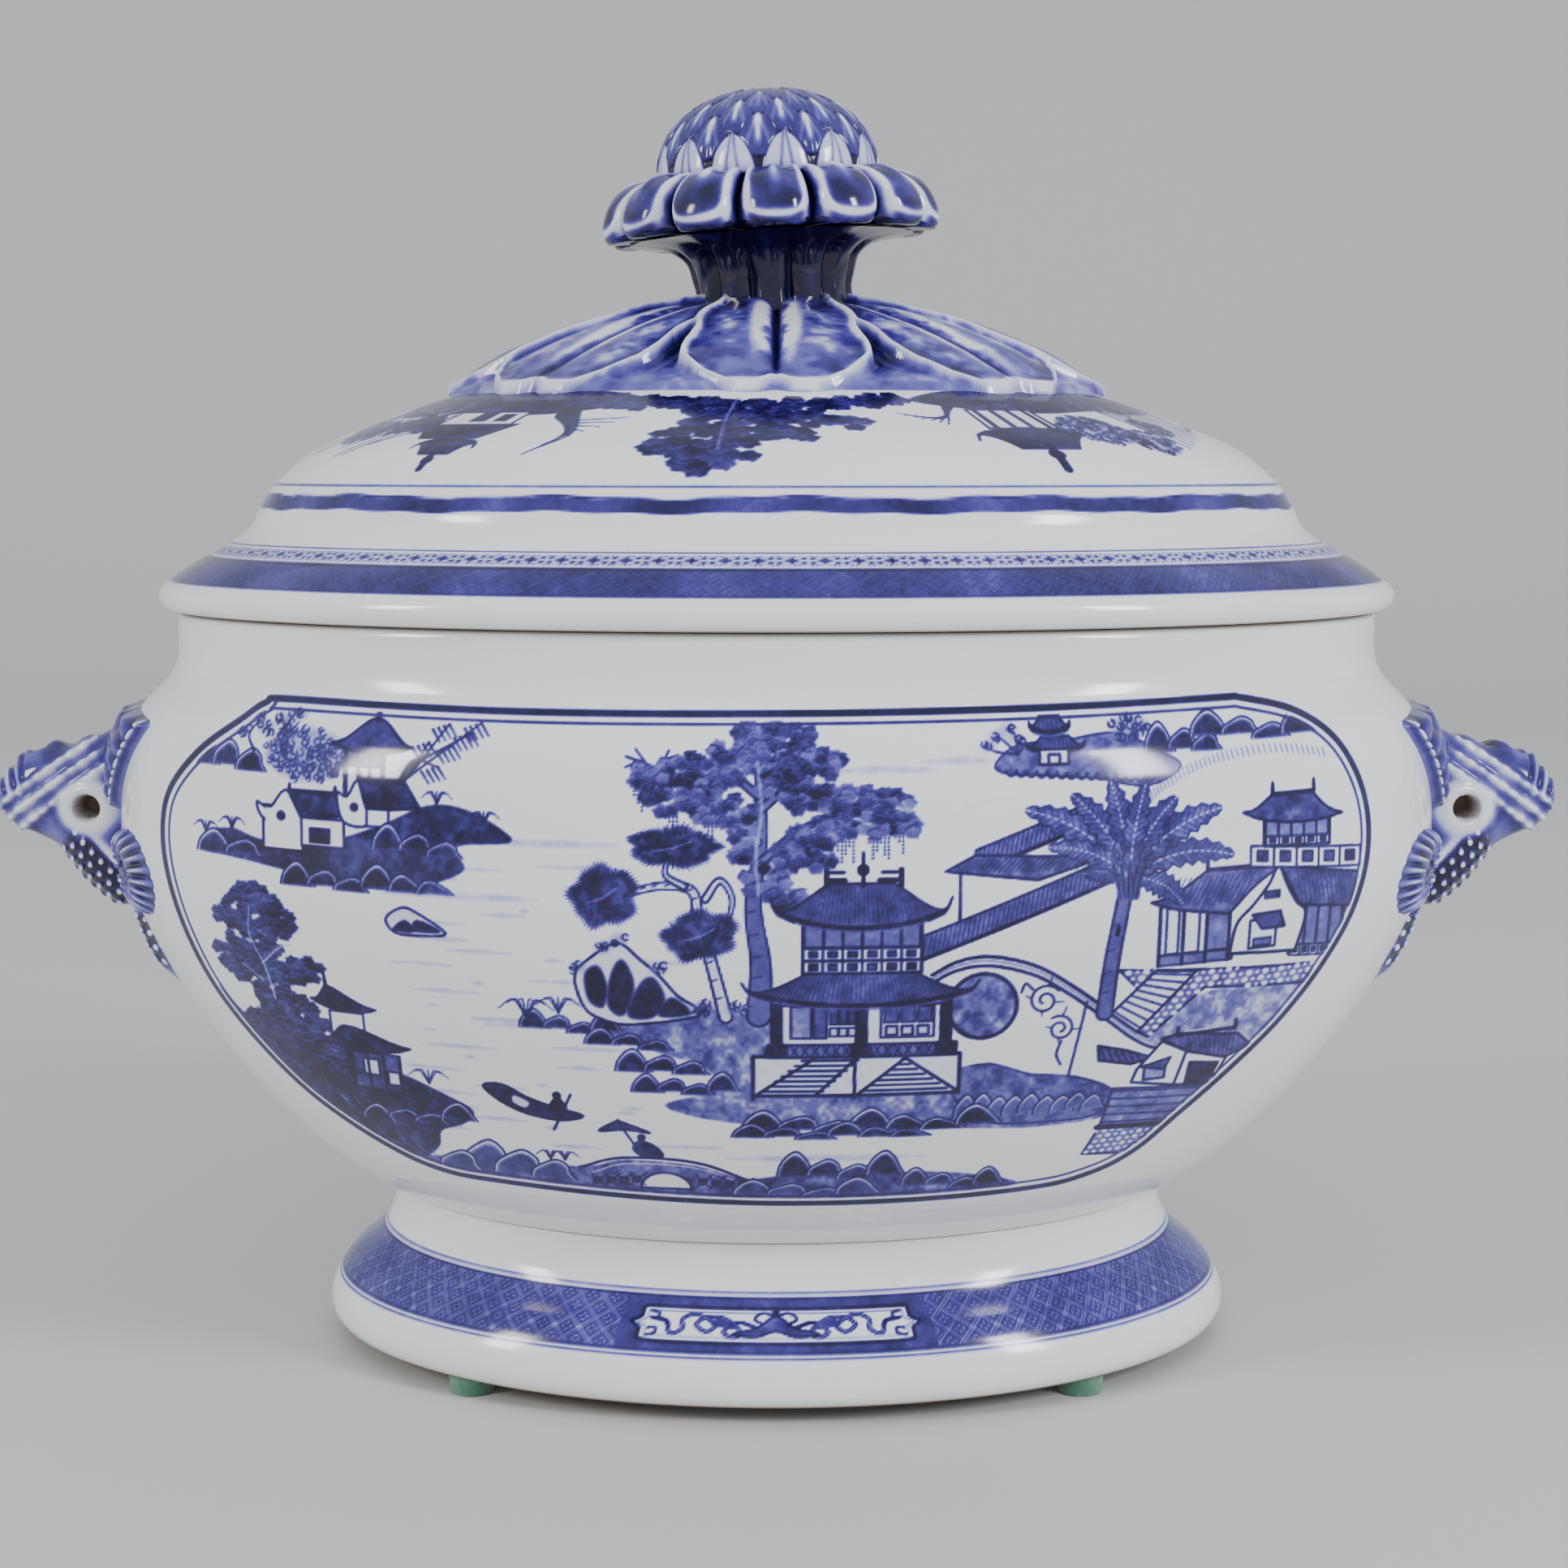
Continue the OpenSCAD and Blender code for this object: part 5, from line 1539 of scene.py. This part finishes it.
def makeHead(side, name):
    x = np.linspace(138, 179.0, beast["rows"])
    stations = np.array([(138, 143.5, 96.5, 16.0), (146, 142.4, 98.2, 16.0), (149, 141.2, 98.9, 15.8),
                         (152.4, 139.6, 100.2, 15.3), (158, 137.4, 105, 13.6), (163.6, 136.2, 111.4, 10.8),
                         (168.6, 135.6, 114.4, 8.8), (174, 132.6, 116.8, 7.6), (177, 129.6, 119.6, 6.2),
                         (178.5, 127.2, 122.4, 3.6), (179.0, 125.2, 124.4, 0.6)])
    smooth = rounded(stations, 12)
    top, low, wide = (np.interp(x, smooth[:, 0], smooth[:, k])[:, None] for k in (1, 2, 3))
    turn = np.linspace(-math.pi, math.pi, beast["columns"], endpoint=False)[None, :]
    power = 0.86
    up = np.sign(np.cos(turn)) * np.abs(np.cos(turn)) ** power
    out = np.sign(np.sin(turn)) * np.abs(np.sin(turn)) ** power
    y = wide * out
    z = (top + low) / 2 + (top - low) / 2 * up
    xs = x[:, None] + 0 * turn
    flank = np.abs(out)
    # long folds from the brow to the snout
    start, tip = np.array([151.0, 139.2]), np.array([178.5, 121.2])
    way = (tip - start) / np.hypot(*(tip - start))
    along = (xs - start[0]) * way[0] + (z - start[1]) * way[1]
    across = -(xs - start[0]) * way[1] + (z - start[1]) * way[0]
    below = -across
    onFold = softStep(along, 1.5, 5) * softStep(flank, 0.2, 0.5)
    knots = 1 + 0.2 * np.sin(along * tau / 3.1 + below)
    folds = sum(bump(below, c, 0.95) for c in (-0.6, 2.7, 6.0)) * onFold * knots
    lift = 1.35 * folds
    ink = 0.52 + 0.16 * np.sin(xs * 0.55 + 2) * np.sin(z * 0.5) - 0.52 * folds
    # brow and crest
    crest = softStep(flank, 0.5, 0.2) * softStep(xs, 152, 160) * softStep(z, 124, 130)
    lumps = np.sin(xs * tau / 7.5 + 0.8 * np.sin(turn * 3) + 1)
    lift = lift + 0.75 * crest * lumps
    ink = ink + crest * (0.18 - 0.22 * lumps)
    # snout end: two raised bands above the nostril
    snout = softStep(xs, 171, 173) * softStep(z, 123.5, 126)
    bands = np.sin((xs - 0.3 * (z - 125)) * tau / 2.9)
    lift = lift + 0.55 * snout * bands
    ink = ink - snout * 0.28 * bands
    # jowl with raised dots, slung from under the snout to the throat
    low, high = np.array([149.6, 99.6]), np.array([163.0, 113.0])
    sling = (high - low) / np.hypot(*(high - low))
    reach = (xs - low[0]) * sling[0] + (z - low[1]) * sling[1]
    off = -(xs - low[0]) * sling[1] + (z - low[1]) * sling[0]
    jowl = softStep(reach, -1.5, 0.5) * softStep(-reach, -20.5, -18.5) * softStep(-off, -8.2,
                                                                                  -7.0) * softStep(flank, 0.0,
                                                                                                   0.12)
    gz = off / 2.6 + 0.2
    dx = np.mod(reach / 2.9 + 0.5 * np.mod(np.floor(gz), 2), 1) - 0.5
    dz = np.mod(gz, 1) - 0.5
    bead = softStep(-np.hypot(dx * 2.9, dz * 2.6), -0.95, -0.5)
    lift = lift * (1 - jowl) + jowl * (0.7 + 0.8 * bead)
    ink = ink * (1 - jowl) + jowl * (0.98 - 0.96 * bead)
    # raised cheek ridge; its lighter blue is a painted highlight
    cheekRidgeHighlight = bump(off, 8.6, 1.3) * bump(reach, 8, 6) * softStep(flank, 0.4, 0.7)
    lift = lift + 0.8 * cheekRidgeHighlight
    ink = ink - 0.6 * cheekRidgeHighlight
    # locks falling back to the wall
    hair = softStep(-xs, -152.5, -149) * softStep(z, 126, 130)
    strands = np.sin(z * 1.9 + xs * 0.9)
    lift = lift + 0.5 * hair * strands
    ink = ink * (1 - hair) + hair * (0.5 - 0.4 * strands)
    # white socket round the vent, and the vent itself
    ex, ez = beast["eye"]
    away = np.hypot((xs - ex) / 1.15, z - ez)
    socket = softStep(-away, -8.0, -5.0) * softStep(flank, 0.3, 0.5)
    lift = lift * (1 - socket) + 0.6 * bump(away, 4.2, 1.2) * softStep(flank, 0.3, 0.5)
    ink = ink * (1 - socket) + 0.04 * socket
    hole = softStep(-away, -beast["eyeR"] - 0.25, -beast["eyeR"] + 0.75) * softStep(flank, 0.3, 0.5)
    # a ring of part biscuit brown round the vent's edge
    brownTinge = bump(away, 2.4, 1.9) * softStep(flank, 0.3, 0.5)
    z = z + lift * up * 0.9
    y = y + lift * out * 0.9
    y = y * (1 - 0.80 * hole)
    ink = np.clip(ink, 0.03, 1)
    bare = np.clip(0.28 * brownTinge + 0.95 * hole, 0, 1)
    ink = np.maximum(ink * (1 - hole), 0.0)
    points = np.stack([side * xs, y if side > 0 else -y, z], -1)
    piece = skin(name + "Head", points[::-1], {"cobalt": ink[::-1], "bare": bare[::-1]}, handleGlaze,
                 "tureen",
                 ends=(True, False))
    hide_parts("handle_head_" + name)


def sprig(name, node, side, ys, zs, lift, ink):  # relief pressed on the end wall of the bowl
    x = wallX(ys, zs) + lift
    points = np.stack([side * x, side * ys, zs], -1)
    piece = skin(name, points, {"cobalt": np.clip(ink, 0.03, 1), "bare": 0.0}, handleGlaze, "tureen",
                 wrap=False)
    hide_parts(node)


def makeMane(side, name):
    zs = np.linspace(122, 146.6, 150)[:, None]
    a = np.linspace(-1, 1, 460)[None, :]
    half = np.interp(zs, (122, 125, 128, 134, 140, 143.5, 145.6, 146.6),
                     (17, 22.5, 26, 32, 37.5, 40, 37.5, 31))
    ys = half * a
    zs = zs + 0 * a
    rim = (1 - np.abs(a)) * half  # distance in from the outer edge
    top = 146.6 - zs - 1.5 * a ** 2
    solid = softStep(rim, 0, 1.6) * softStep(top, 0, 1.6) * softStep(zs, 122, 124)
    beads = np.mod(zs / 2.3 + 0.15 * np.sin(zs), 1) - 0.5
    bead = softStep(-np.hypot(beads * 2.3, rim - 2.6), -1.5, -0.6)
    band = bump(rim, 2.6, 1.7)
    lock = np.sin((zs * 0.85 + np.abs(ys) * 0.55) * 1.15 + 0.8 * np.sin(rim * 0.5))
    inner = softStep(rim, 4.2, 5.6)
    lift = (2.0 + 1.5 * softStep(rim, 3, 9) + 0.7 * lock * inner + 1.0 * bead) * solid - 0.7 * (1 - solid)
    ink = 0.60 - 0.22 * lock * inner + 0.22 * band - 0.88 * bead - 0.3 * bump(rim, 0.6, 0.5)
    sprig(name + "Mane", "handle_mane_" + name, side, ys, zs, lift, ink)


def makeEar(side, depth, label, node):
    sweep = np.linspace(-math.pi, math.pi, 260)[None, :]
    rho = np.linspace(1.0, 0.02, 70)[:, None]
    toward = 1 if depth > 0 else -1
    hub, middle = (24.5, 110.0), (34.5, 111.2)  # the fan spreads from its root beside the head
    ys = toward * (hub[0] + (middle[0] - hub[0] + 14.0 * np.sin(sweep)) * rho)
    zs = hub[1] + (middle[1] - hub[1] + 9.4 * np.cos(sweep)) * rho
    dome = np.sqrt(np.clip(1 - rho ** 2.4, 0, 1))
    strand = np.sin(sweep * 19 + 1.6 * rho)
    fringe = bump(rho, 0.78, 0.2)
    cup = bump(rho, 0.25, 0.3)
    lift = 3.6 * dome + 0.9 * strand * fringe - 1.5 * cup - 0.6
    ink = 0.50 - 0.42 * strand * fringe + 0.22 * cup - 0.3 * bump(rho, 0.48, 0.07)
    x = wallX(ys, zs) + lift
    points = np.stack([side * x, ys, zs], -1)
    ink = ink * np.ones_like(x)
    if (depth > 0) == (side > 0):
        points, ink = points[::-1], ink[::-1]
    piece = skin(label, points, {"cobalt": np.clip(ink, 0.03, 1), "bare": 0.0}, handleGlaze, "tureen",
                 wrap=False)
    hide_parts(node)


def makeBeard(side, name):
    t = np.linspace(0, 1, 190)[:, None]
    a = np.linspace(-1, 1, 240)[None, :]
    zs = 72 + (104 - 72) * t + 0 * a
    wide = np.interp(t, (0, 0.1, 0.3, 0.42, 0.56, 0.8, 1), (3, 9, 19, 23, 22, 15, 8))
    ys = wide * a + 0 * t
    tall = np.interp(t, (0, 0.2, 0.34, 0.44, 0.7, 1), (0.1, 0.3, 0.9, 2.8, 3.4, 4.2))
    edge = (1 - np.abs(a)) * wide
    dome = softStep(edge, 0, 9)
    lock = np.sin(ys * 0.9 + 8 * t)
    dx, dz = np.mod(ys / 4.4 + 0.5 * np.mod(np.floor(zs / 2.9), 2), 1) - 0.5, np.mod(zs / 2.9, 1) - 0.5
    dotted = softStep(t, 0.44, 0.5) * softStep(t, 0.84, 0.76) * softStep(edge, 1.4, 2.2)
    bead = softStep(-np.hypot(dx * 3.2, dz * 2.9), -1.1, -0.5) * dotted
    tail = softStep(t, 0.46, 0.36)
    lift = (tall * dome + 0.7 * bead + 0.3 * lock * (1 - dotted) * dome * (1 - tail)
            - 0.45 * (1 - softStep(edge, 0, 0.5)))
    lift = lift * softStep(t, 0, 0.05) - 0.4 * softStep(t, 0.04, 0)
    ink = 0.42 - 0.22 * lock * (1 - dotted) + 0.5 * dotted - 0.98 * bead - 0.4 * bump(edge, 0.8,
                                                                                      0.4) * (1 - tail)
    ink = ink * (1 - tail) + tail * (0.30 + 0.16 * lock) * softStep(edge, 0, 1.6)
    sprig(name + "Beard", "handle_beard_" + name, side, ys, zs, lift, ink)


handleGlaze = glazeFinish("cobalt pooled on the heads", wear=0.1)
for side, name in ((-1, "left"), (1, "right")):
    makeHead(side, name)
    makeMane(side, name)
    makeBeard(side, name)
    for depth, end in ((-38, "front"), (38, "back")):
        makeEar(side, depth, name + "Ear" + end.title(), "ear_" + name + "_" + end)
print("handles made")


# felt pads under the foot

pad = {"radius": 5, "fuzz": 0.12}


def makePad(number):
    low, high = [np.array(corner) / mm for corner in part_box("felt_pad_%d" % number)]
    mid = (low + high) / 2
    r, tall = pad["radius"], high[2] - low[2]
    line = evenly(join(np.array([(0.05, 0), (r - 0.5, 0)]),
                       curve((r - 0.5, 0), (r, 0), (r + 0.1, 0.3), (r, 0.8), 8),
                       curve((r, 0.8), (r - 0.25, 1.6), (r - 0.25, 2.6), (r, tall - 0.3), 8),
                       np.array([(r, tall - 0.3), (r - 0.3, tall), (0.05, tall)])), 0.35)
    angles = ovalRing(90)[None, :]
    wool = patchy((len(line), 90), 2.0) * pad["fuzz"]
    wool[:, 0] = wool[:, -1]
    radius = line[:, :1] + wool * (line[:, :1] > 3)
    points = np.stack([mid[0] + radius * np.sin(angles), mid[1] - radius * np.cos(angles),
                       low[2] + line[:, 1:] + 0 * angles], -1)
    piece = skin("feltPad%d" % number, points, {}, greenFelt, "tureen", ends=(True, True))
    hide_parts("felt_pad_%d" % number)


for number in (1, 2, 3, 4):
    makePad(number)
print("pads made")


# camera, light and table


studio = {
    "distance": 0.632,
    "eye": 0.200,
    "down": 6.64,
    "aside": 0.0017,
    "lens": 63.35,
    "roomColour": (0.75, 0.80, 0.88, 1),
    "roomStrength": 1.0,
    "paper": (0.62, 0.61, 0.59, 1),
    "aim": (0, 0, 0.13),
}


def makeCamera():
    data = bpy.data.cameras.new("camera")
    data.lens = studio["lens"]
    data.sensor_width = 36
    data.clip_start, data.clip_end = 0.01, 20
    camera = bpy.data.objects.new("camera", data)
    camera.location = (studio["aside"], -studio["distance"], studio["eye"])
    camera.rotation_euler = (math.radians(90 - studio["down"]), 0, 0)
    bpy.context.collection.objects.link(camera)
    bpy.context.scene.camera = camera


def softbox(name, place, aim, size, power, tint):
    data = bpy.data.lights.new(name, "AREA")
    data.shape = "RECTANGLE"
    data.size, data.size_y = size
    data.energy = power
    data.color = tint
    lamp = bpy.data.objects.new(name, data)
    lamp.location = place
    lamp.rotation_euler = (Vector(aim) - Vector(place)).to_track_quat("-Z", "Y").to_euler()
    bpy.context.collection.objects.link(lamp)


def makeTable():
    mesh = bpy.data.meshes.new("tableTop")
    depth, side, back, rise, bend = -2.5, 3.0, 1.6, 2.4, 24
    sweep = [(depth, 0.0)] + [(back + 0.8 * math.sin(a), 0.8 - 0.8 * math.cos(a))
                              for a in np.linspace(0, math.pi / 2, bend)] + [(back + 0.8, rise)]
    verts = [(x, y, z) for y, z in sweep for x in (-side, side)]
    faces = [(2 * k, 2 * k + 1, 2 * k + 3, 2 * k + 2) for k in range(len(sweep) - 1)]
    mesh.from_pydata(verts, [], faces)
    mesh.shade_smooth()
    floor = bpy.data.objects.new("tableTop", mesh)
    bpy.context.collection.objects.link(floor)
    finish = bpy.data.materials.new("pale paper sweep")
    finish.use_nodes = True
    shader = finish.node_tree.nodes["Principled BSDF"]
    shader.inputs["Base Color"].default_value = studio["paper"]
    shader.inputs["Roughness"].default_value = 0.7
    mesh.materials.append(finish)


def makeLight():
    world = bpy.data.worlds.new("soft room")
    bpy.context.scene.world = world
    world.use_nodes = True
    room = world.node_tree.nodes["Background"]
    room.inputs[0].default_value = studio["roomColour"]
    room.inputs[1].default_value = studio["roomStrength"]
    softbox("windowRight", (1.5, -1.1, 1.0), studio["aim"], (0.3, 0.7), 26, (0.95, 0.98, 1.0))
    softbox("windowLeft", (-1.6, -0.9, 0.9), studio["aim"], (0.3, 0.6), 16, (1.0, 0.97, 0.92))


makeCamera()
makeTable()
makeLight()
print("studio set")
